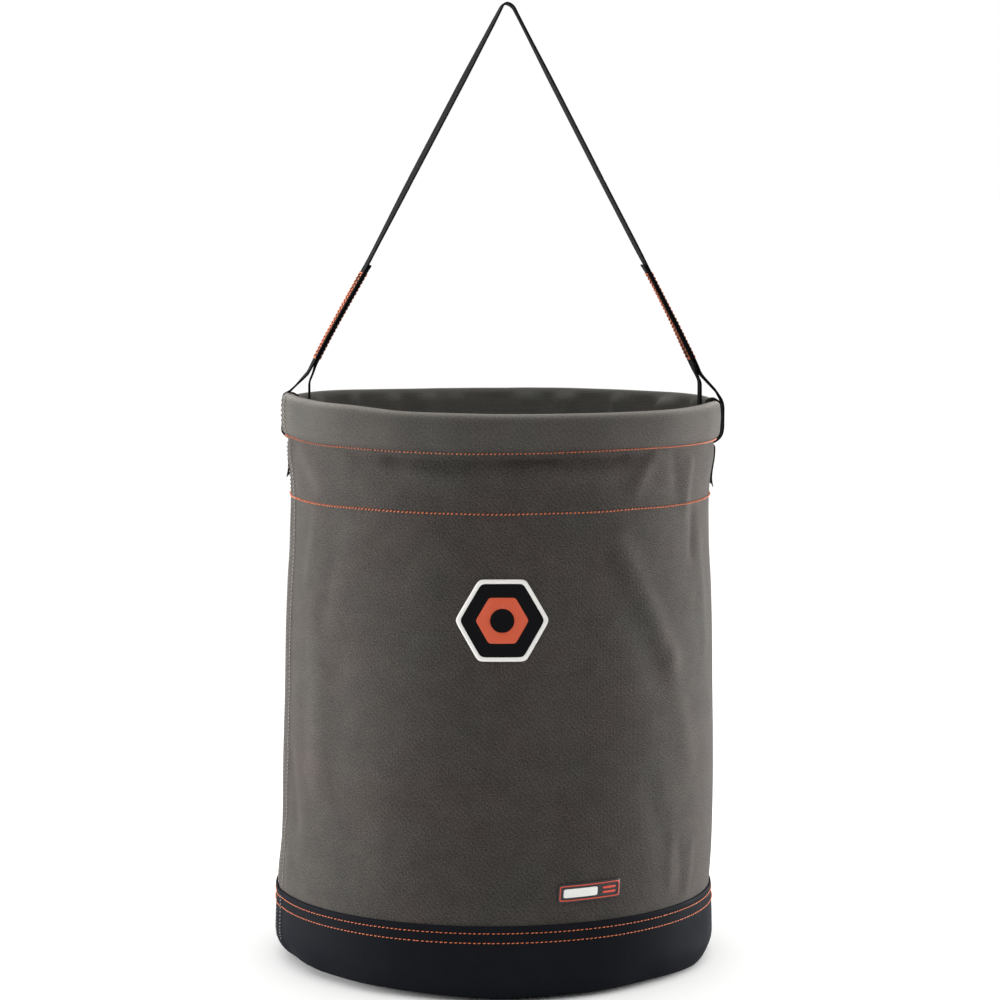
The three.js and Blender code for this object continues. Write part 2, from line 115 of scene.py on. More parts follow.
def arc(r, z, radius, start, end, count):
    """Points of a circle round (r, z), between two angles in degrees."""
    angle = np.radians(np.linspace(start, end, count))
    return np.column_stack([r + radius * np.cos(angle), z + radius * np.sin(angle)])


def travelled(points):
    """Distance along a polyline at each of its points."""
    steps = np.linalg.norm(np.diff(points, axis=0), axis=1)
    return np.concatenate([[0], np.cumsum(steps)])


def heading(points):
    """Direction of travel at each point of a polyline: its step, divided by its length."""
    way = np.gradient(points, axis=0)
    return way / np.linalg.norm(way, axis=1)[:, None]


def follow(place_along, run, line, way):
    """The point and the heading at a distance along a line, as four arrays, each read
    between the line's own points."""
    return [np.interp(place_along, run, values) for values in (*line.T, *way.T)]


quarter = travelled(arc(0, 0, 10, 0, 90, 50))[-1]
print("a quarter turn of radius 10 is", round(quarter, 1), "mm long")

# %% [markdown]
# ## How the bucket has settled
# A sewn tube is never a true cylinder. This one stands a few millimetres to the left at its
# foot, its waist is at the hem, and the strap pinches the hoop in on the left. The roll is
# taller in some places than in others, and the bottom corner is curled up off the floor.
# One function holds all of that, and every piece of the bucket goes through it, so that
# thread, leather and canvas stay on each other. Its tables were measured in millimetres.

# %% The settled shape
lean_at = smooth_curve(
    [0, 45, 57, 70, 81, 93, 117, 141, 188, 282, 352, 400, 430],
    [-5.0, -4.9, -5.4, -4.3, -3.2, -2.4, -1.8, -1.6, -1.1, -0.7, -0.4, 0.3, 0.5],
    6,
)
wall_radius = smooth_curve(
    [0, 57, 70, 93, 117, 141, 165, 188, 212, 235, 259, 282, 294,
     305, 317, 340, 352, 364, 387, 402],
    [167.6, 168.0, 168.0, 167.3, 167.2, 167.2, 166.8, 166.2, 165.6, 165.3, 164.8, 163.9, 163.4,
     162.6, 161.8, 161.3, 161.2, 161.6, 163.0, 163.5],
    5,
)
boot_radius = smooth_curve(
    [14, 18.6, 30, 44, 53.7, 57], [170.3, 170.35, 170.15, 169.75, 169.1, 168.9], 2.5
)
roll_lift = smooth_curve(
    [0, 10, 20, 50, 90, 115, 140, 172, 180, 188, 204, 227, 237, 243, 252, 257, 270, 283, 296, 310,
     325, 333, 341, 350, 360],
    [0.3, 0, 0, -0.8, -2.4, -1.2, 0, 0, 1.5, 4.0, 4.7, 4.4, 3.0, 1.8, 1.8, 1.9, 1.4, 0.8, 0.2, 0,
     0.6, 1.3, 2.3, 2.0, 0.3], 3)
corner_lift = smooth_curve(
    [0, 30, 80, 130, 170, 184, 193, 205, 214, 221, 235, 243, 249, 256, 266, 273, 286, 296,
     312, 321, 327, 333, 348, 360],
    [0.5, 2.0, 0.5, 3.0, 3.5, 4.5, 5.0, 5.9, 4.6, 3.9, 4.1, 3.7, 3.0, 2.5, 1.1, 0.4, 1.4, 1.8,
     1.9, 2.1, 0.9, 0, 0, 0.5], 3)


def place(azimuth, radius, height):
    """Turns azimuth, radius and height in mm into a point, in metres. The circle at each
    height is moved along X by the lean. Near the rim it is pinched where the strap pulls and
    lifted at both sides, the roll is taller where its table says, and the bottom corner is
    drawn up off the floor."""
    azimuth, radius, height = np.broadcast_arrays(azimuth, radius, height)
    angle = np.radians(azimuth)
    near_rim = ease(height, 330, 412)
    left, right = turned_from(azimuth, LEFT), turned_from(azimuth, RIGHT)
    dent = 3.4 + 2.3 * ease(height, 403, 411)
    pinch = near_rim * (0.5 * bell(left - 15, 8) - dent * bell(left, 6.5) - 0.7 * bell(right, 10))
    bulge = 1.8 * bell(right + 6, 11) + 1.6 * bell(left - 12, 9)
    pinch = pinch + bulge * bell(height - 391, 9)
    lift = 3.2 * bell(left - 14, 11) + 0.8 * bell(left + 14, 18) - 1.4 * bell(right, 14)
    lift = near_rim * lift
    lift = lift + near_rim * 0.45 * np.sin(5 * angle + 0.6)
    lift = lift + ease(height, 405, 428) * roll_lift(azimuth % 360)
    lift = lift + (1 - ease(height, 4, 34)) * ease(radius, 105, 150) * corner_lift(azimuth % 360)
    r = radius + pinch
    return MM * np.stack(
        [r * np.cos(angle) + lean_at(height), r * np.sin(angle), height + lift], axis=-1
    )


rim_top = place(np.arange(360.0), RIM_RADIUS - 4, RIM_HEIGHT)[:, 2] / MM
print("the rim's top is", round(rim_top.min()), "to", round(rim_top.max()), "mm up")

# %% [markdown]
# ## Folds in the cloth
# Duck canvas is stiff, so it makes a few long soft folds and no small creases. Each fold is
# a straight ridge or valley on the unrolled wall. Its height falls off as a bell with the
# distance from its line, which costs one line of numpy for all of them together.

# %% Folds of the wall
FOLDS = [  # azimuth and height of both ends, half width, how far it stands out, in mm
    (303, 336, 321, 246, 6.5, 1.7), (299, 318, 316, 232, 8, -1.1), (321, 246, 330, 165, 7, 1.1),
    (314, 401, 308, 372, 4.5, 1.4), (322, 398, 324, 372, 4.5, -1.3), (330, 388, 329, 352, 4, 1.5),
    (334, 348, 333, 322, 4, -1.6), (338, 330, 341, 250, 6, 1.2), (312, 150, 318, 110, 7, -0.8),
    (321, 112, 321, 72, 2.6, 0.7), (325, 104, 326, 70, 2.6, -0.8), (331, 100, 330, 66, 3.4, 1.0),
    (212, 352, 208, 302, 5, 1.0), (222, 342, 217, 272, 7, -1.1), (213, 262, 215, 150, 8, 1.1),
    (223, 240, 224, 140, 8, -0.7), (200, 160, 204, 112, 6, -1.6), (197, 104, 200, 62, 5, 1.2),
    (205, 398, 214, 372, 6, 1.2), (218, 396, 226, 370, 7, -0.4), (232, 250, 240, 90, 14, 0.7),
    (230, 397, 312, 396.5, 4.5, -1.5), (241, 396.5, 303, 396.5, 4.5, -1.6),
    (272, 398, 284, 398, 3.0, -2.2), (240, 385, 300, 386, 6, 0.3),
    (247, 392, 258, 378, 7, 0.9), (286, 392, 297, 380, 7, 0.9),
    (268, 345, 272, 318, 14, -1.0), (288, 330, 284, 200, 16, 0.6), (252, 320, 246, 190, 16, 0.6),
]
BACK_FOLDS = 16
backs = np.column_stack([
    random.uniform(12, 168, BACK_FOLDS), random.uniform(200, 395, BACK_FOLDS),
    random.normal(0, 7, BACK_FOLDS), random.uniform(40, 120, BACK_FOLDS),
    random.uniform(5, 12, BACK_FOLDS), random.uniform(-1.3, 1.5, BACK_FOLDS),
])
backs[:, 2] += backs[:, 0]
backs[:, 3] = np.maximum(backs[:, 1] - backs[:, 3], 66)
folds_table = np.vstack([FOLDS, backs])


def folds(azimuth, height):
    """Sum of all folds: each is its height times a bell of the distance to its line, with
    the wall unrolled at its mean radius."""
    azimuth, height = np.broadcast_arrays(azimuth, height)
    total = np.zeros(azimuth.shape)
    for az0, z0, az1, z1, half_width, rise in folds_table:
        across, up = turned_from(azimuth, az0) * ROUND_WALL, height - z0
        run = np.array([(az1 - az0) * ROUND_WALL, z1 - z0])
        share = np.clip((across * run[0] + up * run[1]) / (run @ run), 0, 1)
        gap = np.hypot(across - share * run[0], up - share * run[1])
        total += rise * bell(gap, half_width)
    return total


print(len(folds_table), "folds")

# %% [markdown]
# ## From arrays to a mesh
# A piece is a grid of points: rows along a profile, columns round the bucket or along a
# strap. `from_pydata` would walk over it face by face, so the corners are given to the mesh
# as whole arrays. Each piece also keeps a map of its flat cut, in mm, for the weave to follow.

# %% Mesh builder
def make_mesh(name, points, faces, cut=None):
    """A mesh object from points (n, 3) in metres and a list of face arrays, each (m, k) with
    k corners a face. cut is (n, 2), the place of each point on the flat piece in mm."""
    mesh = bpy.data.meshes.new(name)
    corners = np.concatenate([f.ravel() for f in faces]).astype(np.int32)
    sizes = np.concatenate([np.full(len(f), f.shape[1]) for f in faces])
    mesh.vertices.add(len(points))
    mesh.vertices.foreach_set("co", np.asarray(points, np.float32).ravel())
    mesh.loops.add(len(corners))
    mesh.loops.foreach_set("vertex_index", corners)
    mesh.polygons.add(len(sizes))
    mesh.polygons.foreach_set("loop_start", np.cumsum(sizes) - sizes)
    mesh.polygons.foreach_set("use_smooth", np.ones(len(sizes), bool))
    if cut is not None:
        layer = mesh.uv_layers.new(name="cut")
        layer.data.foreach_set("uv", np.asarray(cut, np.float32)[corners].ravel())
    mesh.update(calc_edges=True)
    mesh.validate()
    piece = bpy.data.objects.new(name, mesh)
    bpy.context.scene.collection.objects.link(piece)
    return piece


def grid_faces(rows, columns, close_rows=False, close_columns=False, start=0):
    """Quads between neighbouring points of a grid, as an array (m, 4) of point numbers."""
    i = np.arange(rows if close_rows else rows - 1)[:, None]
    j = np.arange(columns if close_columns else columns - 1)[None, :]
    i2, j2 = (i + 1) % rows, (j + 1) % columns
    quads = [i * columns + j, i * columns + j2, i2 * columns + j2, i2 * columns + j]
    return start + np.stack(np.broadcast_arrays(*quads), axis=-1).reshape(-1, 4)


def tidy(piece, thickness=0.0):
    """Merges doubles at poles, turns the faces of a closed piece outwards, and gives a sheet
    its thickness, half to each side."""
    mesh = piece.data
    work = bmesh.new()
    work.from_mesh(mesh)
    bmesh.ops.remove_doubles(work, verts=work.verts, dist=1e-6)
    if not any(edge.is_boundary for edge in work.edges) and work.calc_volume(signed=True) < 0:
        bmesh.ops.reverse_faces(work, faces=work.faces)
    work.to_mesh(mesh)
    work.free()
    if thickness:
        solid = piece.modifiers.new("thickness", "SOLIDIFY")
        solid.thickness = thickness * MM
        solid.offset = 0
    return piece


def finish_piece(piece, material, body, nodes=()):
    """Gives a piece its material, attaches it to the body it rides on when that is a name, else
    bakes its place into its mesh, and hides the CAD nodes that it stands for."""
    piece.data.materials.clear()
    piece.data.materials.append(material)
    if isinstance(body, str):
        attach(piece, body)
    else:
        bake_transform(piece)
    if nodes:
        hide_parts(*nodes)
    return piece


print("a grid of 3 by 4 points has", len(grid_faces(3, 4)), "faces")

# %% [markdown]
# ## Finishes
# Every finish is a Principled shader whose base values come from what the real thing is.
# Patterns are worked out from real sizes: the cut map is in millimetres, so a wave's scale
# is its pitch in millimetres turned upside down.

# %% Node helpers
def linear(hex_colour):
    """An sRGB hex colour as linear RGBA: c/12.92 when dark, else ((c+0.055)/1.055)^2.4."""
    c = np.array([int(hex_colour[i : i + 2], 16) for i in (1, 3, 5)]) / 255
    return (*np.where(c <= 0.04045, c / 12.92, ((c + 0.055) / 1.055) ** 2.4), 1.0)


def add_node(tree, kind, inputs=None, output=0, **settings):
    """Adds one node, sets its own properties, and fills each of its inputs, by name or
    number, with a value or a link. Returns one of its output sockets."""
    node = tree.nodes.new("ShaderNode" + kind)
    for key, value in settings.items():
        setattr(node, key, value)
    for key, value in (inputs or {}).items():
        if isinstance(value, bpy.types.NodeSocket):
            tree.links.new(value, node.inputs[key])
        else:
            node.inputs[key].default_value = value
    return node.outputs[output]


def new_finish(name, colour, roughness, **values):
    """A material with a Principled shader. Returns the material, its tree and the shader."""
    material = bpy.data.materials.new(name)
    material.use_nodes = True
    tree = material.node_tree
    shader = next(n for n in tree.nodes if n.type == "BSDF_PRINCIPLED")
    shader.inputs["Base Color"].default_value = linear(colour)
    shader.inputs["Roughness"].default_value = roughness
    for key, value in values.items():
        shader.inputs[key.replace("_", " ").title().replace("Ior", "IOR")].default_value = value
    return material, tree, shader


WAVE_TURN = 2 * math.pi / 20  # a wave texture repeats after this distance at scale 1
print("half-way grey, #808080, is", round(float(linear("#808080")[0]), 3), "in linear light")

# %% [markdown]
# ### Duck canvas
# Heavy cotton duck, plain woven from thick ply yarn at about 21 threads to the inch and dyed
# warm grey. The eye sees three things: the yarn's over and under as a fine grain, thick
# places in the yarn as short darker flecks, and wide faint blotches where the dye took
# warmer or cooler. It has a cotton nap, which a sheen gives, so its turned-away sides look
# lighter than its front.

# %% Canvas finish
# Of these, #9a958f is the pale line along the roll's top, partly rubbed nap and partly a painted
# highlight, and #6c6c67 is painted light from above on the cuff and the facing.
CANVAS_COLOURS = {"dark": "#1b1918", "mid": "#363331", "light": "#544f4b", "warm": "#3c3331",
                  "cool": "#343531", "reverse": "#6c6c67", "pale_patch": "#9a958f"}


def make_canvas(name):
    """Weave bump from two crossed waves 1.2 mm apart. The colour is a grain of yarn 1.1 mm
    long, slanted lines 2.1 mm apart where the plies lie, and dye blotches 20 and 60 mm wide.
    Two point attributes give the shares of a pale line along the roll's top and on the fold
    ridges, partly rubbed nap and partly a painted highlight, and of painted light from above,
    which makes the cuff and the facing paler."""
    material, tree, shader = new_finish(
        name, CANVAS_COLOURS["mid"], 0.92, ior=1.45, specular_ior_level=0.2,
        sheen_weight=0.1, sheen_roughness=0.4,
    )
    shader.inputs["Sheen Tint"].default_value = linear("#d8cfc6")
    cut = add_node(tree, "UVMap", uv_map="cut")
    wave = {"Vector": cut, "Distortion": 0.6, "Detail": 1.0, "Detail Scale": 0.6,
            "Scale": WAVE_TURN / 1.2}
    warp = add_node(tree, "TexWave", wave, 1, bands_direction="X")
    weft = add_node(tree, "TexWave", wave, 1, bands_direction="Y")
    weave = add_node(tree, "Math", {0: warp, 1: weft}, operation="MULTIPLY")
    grain = add_node(tree, "TexNoise", {"Vector": cut, "Scale": 0.9, "Detail": 2.0,
                                        "Roughness": 0.7})
    ply = add_node(tree, "TexWave", {"Vector": cut, "Scale": WAVE_TURN / 2.1, "Distortion": 5.0,
                                     "Detail": 2.0, "Detail Scale": 1.5}, 1,
                   bands_direction="DIAGONAL")
    dye = add_node(tree, "TexNoise", {"Vector": cut, "Scale": 0.016, "Detail": 3.0,
                                      "Roughness": 0.6})
    cloud = add_node(tree, "TexNoise", {"Vector": cut, "Scale": 0.05, "Detail": 4.0,
                                        "Roughness": 0.65})
    lines = add_node(tree, "Math", {0: ply, 1: 0.18}, operation="MULTIPLY")
    share = add_node(tree, "Math", {0: grain, 1: 3.0, 2: lines}, operation="MULTIPLY_ADD")
    share = add_node(tree, "Math", {0: share, 1: 1.11}, operation="SUBTRACT")
    colour = add_node(tree, "Mix", {0: share, 6: linear(CANVAS_COLOURS["dark"]),
                                    7: linear(CANVAS_COLOURS["light"])}, 2, data_type="RGBA")
    blotch = add_node(tree, "MapRange", {0: dye, 1: 0.35, 2: 0.65})
    hue = add_node(tree, "Mix", {0: blotch, 6: linear(CANVAS_COLOURS["warm"]),
                                 7: linear(CANVAS_COLOURS["cool"])}, 2, data_type="RGBA")
    colour = add_node(tree, "Mix", {0: 0.4, 6: colour, 7: hue}, 2, data_type="RGBA")
    shade = add_node(tree, "Math", {0: cloud, 1: 0.7, 2: 0.65}, operation="MULTIPLY_ADD")
    colour = add_node(tree, "Mix", {0: 1.0, 6: colour, 7: shade}, 2, data_type="RGBA",
                      blend_type="MULTIPLY")
    # Painted light from above: the cuff, and more so the facing, are mixed towards a paler grey.
    back = add_node(tree, "Attribute", None, 2, attribute_name="reverse")
    back = add_node(tree, "Math", {0: back, 1: 0.16}, operation="MULTIPLY")
    colour = add_node(tree, "Mix", {0: back, 6: colour, 7: linear(CANVAS_COLOURS["reverse"])}, 2,
                      data_type="RGBA")
    # A pale line along the roll's top and on the fold ridges: partly rubbed nap, partly a painted
    # highlight.
    wear_and_highlight = add_node(tree, "Attribute", None, 2, attribute_name="wear_and_highlight")
    rub_and_highlight = add_node(tree, "Math", {0: grain, 1: 1.3}, operation="MULTIPLY")
    rub_and_highlight = add_node(tree, "Math", {0: wear_and_highlight, 1: rub_and_highlight}, operation="MULTIPLY")
    colour = add_node(tree, "Mix", {0: rub_and_highlight, 6: colour, 7: linear(CANVAS_COLOURS["pale_patch"])}, 2,
                      data_type="RGBA")
    tree.links.new(colour, shader.inputs["Base Color"])
    height = add_node(tree, "Math", {0: grain, 1: 0.9, 2: weave}, operation="MULTIPLY_ADD")
    bump = add_node(tree, "Bump", {"Strength": 0.6, "Distance": 0.0005, "Height": height})
    tree.links.new(bump, shader.inputs["Normal"])
    return material


duck_canvas = make_canvas("cotton_duck_canvas")
print("made", duck_canvas.name)

# %% [markdown]
# ### Leather, webbing and thread
# The boot is smooth pigment-finished leather: nearly black, faintly blue, with a fine pebble
# and a soft shine. The strap is woven polyester webbing, so it has ribs across it and a
# closed edge. The thread is bonded nylon, which is a little glossy and twisted. Each of them
# has two near shades and one relief, so one function finishes them all from a pattern. On
# the webbing and the thread the two shades follow the relief: painted shade in its hollows.

# %% Two shades and a relief
def patterned(name, low, high, roughness, pattern, strength, depth, **values):
    """A finish drawn from pattern(tree), which returns the share of the high shade, the
    height of a bump that is depth metres deep, and perhaps the roughness, as sockets."""
    material, tree, shader = new_finish(name, low, roughness, **values)
    share, height, *rough = pattern(tree)
    tint = add_node(tree, "Mix", {0: share, 6: linear(low), 7: linear(high)}, 2,
                    data_type="RGBA")
    tree.links.new(tint, shader.inputs["Base Color"])
    bump = add_node(tree, "Bump", {"Strength": strength, "Distance": depth, "Height": height})
    tree.links.new(bump, shader.inputs["Normal"])
    for socket in rough:
        tree.links.new(socket, shader.inputs["Roughness"])
    return material


# %% Leather finish
def pebble_grain(tree):
    """Pebble bump from cells 0.9 mm wide, with wide noise that changes shade and shine."""
    cut = add_node(tree, "UVMap", uv_map="cut")
    pebble = add_node(tree, "TexVoronoi", {"Vector": cut, "Scale": 1.1, "Smoothness": 0.6},
                      feature="SMOOTH_F1")
    pale_patch = add_node(tree, "TexNoise", {"Vector": cut, "Scale": 0.05, "Detail": 4.0,
                                       "Roughness": 0.6})
    rough = add_node(tree, "MapRange", {0: pale_patch, 1: 0.3, 2: 0.7, 3: 0.55, 4: 0.72})
    return pale_patch, pebble, rough


boot_leather = patterned("smooth_black_leather", "#131519", "#191b1f", 0.6, pebble_grain,
                         0.25, 0.0003, ior=1.5, specular_ior_level=0.01)
print("made", boot_leather.name)

# %% Webbing finish
def make_webbing(name, low, rib):
    """Ribs across the strap, rib mm apart, and yarns along it 1.3 mm apart, from two waves
    multiplied. The colour follows the same relief, with painted shade in the grooves."""
    def ribs_and_yarns(tree):
        cut = add_node(tree, "UVMap", uv_map="cut")
        wave = {"Vector": cut, "Distortion": 0.4, "Detail": 1.0, "Detail Scale": 0.6}
        ribs = add_node(tree, "TexWave", {**wave, "Scale": WAVE_TURN / rib}, 1,
                        bands_direction="X")
        yarns = add_node(tree, "TexWave", {**wave, "Scale": WAVE_TURN / 1.3}, 1,
                         bands_direction="Y")
        yarns = add_node(tree, "Math", {0: yarns, 1: 0.4}, operation="ADD")
        height = add_node(tree, "Math", {0: ribs, 1: yarns}, operation="MULTIPLY")
        return height, height

    return patterned(name, low, "#151618", 0.8, ribs_and_yarns, 0.5, 0.0003, ior=1.5,
                     specular_ior_level=0.04, sheen_weight=0.02, sheen_roughness=0.4)


# The first colour is painted shade in the grooves between the ribs.
strap_webbing = make_webbing("black_polyester_webbing", "#070708", 1.6)
print("made", strap_webbing.name)

# %% Thread finish
def twist(tree):
    """A slanted wave 0.5 mm apart on the thread: the bump of each twist, and painted shade between
    the twists.
    """
    cut = add_node(tree, "UVMap", uv_map="cut")
    wave = add_node(tree, "TexWave", {"Vector": cut, "Scale": WAVE_TURN / 0.5}, 1,
                    bands_direction="DIAGONAL")
    return wave, wave


def make_thread(name, low, high):
    """Bonded nylon, a little glossy: its own colour on top of the twists and painted shade between
    them.
    """
    return patterned(name, low, high, 0.5, twist, 0.4, 0.0002, ior=1.53, specular_ior_level=0.4)


# The first colour of each thread is its painted shade between the twists, the second its own
# colour.
orange_thread = make_thread("bonded_nylon_thread_orange", "#a84f2c", "#e07b4e")
grey_thread = make_thread("bonded_nylon_thread_grey", "#76716b", "#a39e97")
print("made", orange_thread.name, "and", grey_thread.name)

# %% [markdown]
# ## The canvas tube
# The wall, the roll over the hoop and the facing inside are one cloth. A lathe would give
# its profile but not its folds, and a simulation would lose the measured outline, so the
# cloth is a grid: the profile gives the rows, and the settled shape and the folds are added
# to whole arrays. The same function then carries every seam and patch, at a chosen distance
# out from the middle of the cloth.

# %% Profile of the cloth
ROLL_X = RIM_RADIUS - 4.35
ROLL_LOW = CREASE_HEIGHT + 8.4
ROLL_TOP = RIM_HEIGHT - 4.35
ROLL_PATH = 3.75
SLIT = (396.6, 400.2)  # heights of the slit that the strap comes out through
SLIT_TURN = 4.9  # degrees to each side of the strap's middle
wall_heights = np.unique(np.concatenate([np.arange(18, 380, 5.5), np.arange(380, 402, 2.2), SLIT]))
cuff_heights = np.linspace(ROLL_LOW, ROLL_TOP, 9)[1:-1]


def roll_under(out, start, end, count):
    """Points of the roll's underside: part of an ellipse 5.5 mm deep and 8 mm high, moved
    out."""
    angle = np.radians(np.linspace(start, end, count))
    r = 163.2 + (5.5 + out) * np.cos(angle)
    return np.column_stack([r, ROLL_LOW + (8 + out) * np.sin(angle)])


facing_heights = np.concatenate([np.arange(424, 402, -2.2), SLIT[::-1], np.arange(392, 351, -4.5)])
facing_radius = np.interp(facing_heights, [HEM_HEIGHT, CREASE_HEIGHT], [159.2, 161.2])
cloth_path = np.vstack([
    [[BOOT_FOOT - 3, 2.4]],
    arc(BOOT_FOOT, 15, 12.6, -90, -5, 8),
    np.column_stack([wall_radius(wall_heights) - CANVAS / 2, wall_heights]),
    [[162.9, 402.2]],
    roll_under(0, -78, 0, 8),
    np.column_stack([ROLL_X + ROLL_PATH + 0.5 * np.sin(
        np.pi * (cuff_heights - ROLL_LOW) / (ROLL_TOP - ROLL_LOW)), cuff_heights]),
    arc(ROLL_X, ROLL_TOP, ROLL_PATH, 0, 180, 13),
    np.column_stack([facing_radius, facing_heights]),
])
cloth_run, cloth_way = travelled(cloth_path), heading(cloth_path)
crease_run = cloth_run[np.argmax(cloth_path[:, 1] > 402)]
top_run = cloth_run[np.argmax(cloth_path[:, 1])]
rising = slice(9, int(np.argmax(cloth_path[:, 1] > 402)) + 1)
print("the cloth is", round(cloth_run[-1]), "mm from the floor seam to the facing's hem")


def run_at(height):
    """Distance along the cloth at a height of the outside wall."""
    return np.interp(height, cloth_path[rising, 1], cloth_run[rising])


# %% [markdown]
# The inside facing is a straight strip of cloth sewn to a ring that is a little smaller, so
# it gathers into soft upright wrinkles, always away from the wall.

# %% Wrinkles of the facing
WRINKLES = 46
wrinkles = np.column_stack([  # azimuth, half width in degrees, rise in mm, slant in degrees a mm
    np.sort(random.uniform(0, 360, WRINKLES)), random.uniform(1.0, 2.6, WRINKLES),
    random.uniform(1.2, 4.4, WRINKLES), random.normal(0, 0.05, WRINKLES),
])


def facing_wrinkles(azimuth, height):
    """Inward bumps, each a bell across its own slanted line, and none behind the strap."""
    azimuth, height = np.broadcast_arrays(azimuth, height)
    total = np.zeros(azimuth.shape)
    for turn, width, rise, slant in wrinkles:
        total += rise * bell(turned_from(azimuth, turn + slant * (height - 400)), width)
    at_strap = bell(turned_from(azimuth, LEFT), 9) + bell(turned_from(azimuth, RIGHT), 9)
    return total * (1 - at_strap)


print(WRINKLES, "wrinkles")


# %% The cloth as a surface
def cloth(azimuth, run, out=0.0):
    """A point of the canvas in metres: the profile at that distance along it, moved out along
    its own normal, plus the wall's folds, the seam's thickness and the facing's wrinkles."""
    azimuth, run = np.broadcast_arrays(azimuth, run)
    r, z, way_r, way_z = follow(run, cloth_run, cloth_path, cloth_way)
    r, z = r + out * way_z, z - out * way_r
    on_wall = 1 - ease(run, crease_run - 5, crease_run + 1)
    inside = ease(run, top_run + 2.5, top_run + 11)
    seam = 0.7 * (ease(turned_from(azimuth, SEAM_AZIMUTH), -3.2, -2.4)
                  - ease(turned_from(azimuth, SEAM_AZIMUTH), 2.4, 3.2))
    cuff = ease(run, crease_run, crease_run + 6) * (1 - inside)
    wave = cuff * 0.35 * np.sin(np.radians(azimuth) * 23 + 2 * np.sin(np.radians(azimuth) * 4))
    r = r + on_wall * folds(azimuth, z) * ease(z, 52, 66) + (1 - inside) * seam + wave
    pushed_in = np.minimum(folds(azimuth, z), 0) * (1 - ease(z, 402, 410))
    r = r + inside * (pushed_in - facing_wrinkles(azimuth, z))
    return place(azimuth, r, z)


# %% Canvas shell
COLUMNS = 320
azimuths = np.arange(COLUMNS) * 360 / COLUMNS
run_grid, azimuth_grid = np.meshgrid(cloth_run, azimuths, indexing="ij")
cloth_points = cloth(azimuth_grid, run_grid)
cloth_faces = grid_faces(len(cloth_run), COLUMNS, close_columns=True)
middle_azimuth = (cloth_faces[:, 0] % COLUMNS + 0.5) * 360 / COLUMNS
middle_height = cloth_path[cloth_faces[:, 0] // COLUMNS, 1]
next_height = cloth_path[cloth_faces[:, 2] // COLUMNS, 1]
lower, upper = np.minimum(middle_height, next_height), np.maximum(middle_height, next_height)
beside = [abs(turned_from(middle_azimuth, centre)) for centre in (LEFT, RIGHT)]
in_slit = (lower > SLIT[0] - 0.1) & (upper < SLIT[1] + 0.1) & (np.minimum(*beside) < SLIT_TURN)
cut_map = np.column_stack([(azimuth_grid * ROUND_WALL).ravel(), run_grid.ravel()])
canvas_shell = make_mesh("canvas_tube", cloth_points.reshape(-1, 3), [cloth_faces[~in_slit]],
                         cut_map)
print("canvas tube:", len(canvas_shell.data.polygons), "faces, less", int(in_slit.sum()),
      "for the two slits")

# %% [markdown]
# The top of the roll, and a little the ridges of the folds, are painted pale: partly rubbed
# nap and partly a painted highlight. The cuff, and more so the facing, are painted paler as
# painted light from above. Both are painted on as attributes, one number for each point,
# which the canvas finish reads.

# %% Painted highlight with rubbed nap, and painted light from above
ridges = folds(azimuth_grid, np.interp(run_grid, cloth_run, cloth_path[:, 1]))
# Partly rubbed nap and partly a painted highlight along the roll's top, and a little on the fold
# ridges.
wear_and_highlight = bell(run_grid - (top_run - 1.2), 1.9)
wear_and_highlight += 0.06 * np.clip(ridges / 1.6, 0, 1)
# Painted light from above: a little on the cuff and more on the facing.
reverse = ease(run_grid, crease_run + 3, crease_run + 9)
reverse = reverse + 2.4 * ease(run_grid, top_run, top_run + 6)
for label, share in (("wear_and_highlight", np.clip(wear_and_highlight, 0, 1)), ("reverse", reverse)):
    canvas_shell.data.attributes.new(label, "FLOAT", "POINT").data.foreach_set(
        "value", share.astype(np.float32).ravel())
tidy(canvas_shell, CANVAS)
finish_piece(canvas_shell, duck_canvas, "bucket", ["canvas_shell"])
print("rubbed and highlit points:", int((wear_and_highlight > 0.5).sum()), "of", wear_and_highlight.size)

# %% [markdown]
# ## Rings and curved plates
# Everything else that goes round the bucket is a closed outline carried round it. A disc is
# the same thing with its outline touching the axis, where the points are merged.

# %% Ring and plate builders
def ring(name, outline, surface=place, columns=192):
    """A closed outline of (radius, height) points turned right round the bucket."""
    outline = np.asarray(outline, float)
    turn, row = np.meshgrid(np.arange(columns) * 360 / columns, np.arange(len(outline)))
    points = surface(turn, outline[row, 0], outline[row, 1])
    reach = travelled(outline)[row]
    cut = np.column_stack([(turn * ROUND_WALL).ravel(), reach.ravel()])
    faces = grid_faces(len(outline), columns, close_rows=True, close_columns=True)
    return tidy(make_mesh(name, points.reshape(-1, 3), [faces], cut))


def curved_block(name, surface, u_range, v_range, out_range, counts):
    """A closed block between two layers of a surface(u, v, out): a slab of the grid above and
    one below, joined round their edges."""
    u, v = np.meshgrid(np.linspace(*u_range, counts[0]), np.linspace(*v_range, counts[1]))
    layers = [surface(u, v, out).reshape(-1, 3) for out in out_range]
    rows, columns = u.shape
    bottom = grid_faces(rows, columns)
    top = bottom[:, ::-1] + rows * columns
    edge = np.concatenate([
        np.arange(columns), (np.arange(1, rows) + 1) * columns - 1,
        rows * columns - 2 - np.arange(columns - 1), (np.arange(rows - 2, 0, -1)) * columns,
    ])
    after = np.roll(edge, -1)
    sides = np.column_stack([edge, after, after + rows * columns, edge + rows * columns])
    cut = np.tile(np.column_stack([u.ravel(), v.ravel()]), (2, 1))
    return tidy(make_mesh(name, np.vstack(layers), [bottom, top, sides], cut))


# %% [markdown]
# ## The base
# Under the bucket is a leather disc, with a stiff board on it, the canvas floor sewn to the
# wall and a tape bound over that seam. They are seen only from above through the mouth and
# from below, and they are plain closed rings and discs with a little wave in the floor.

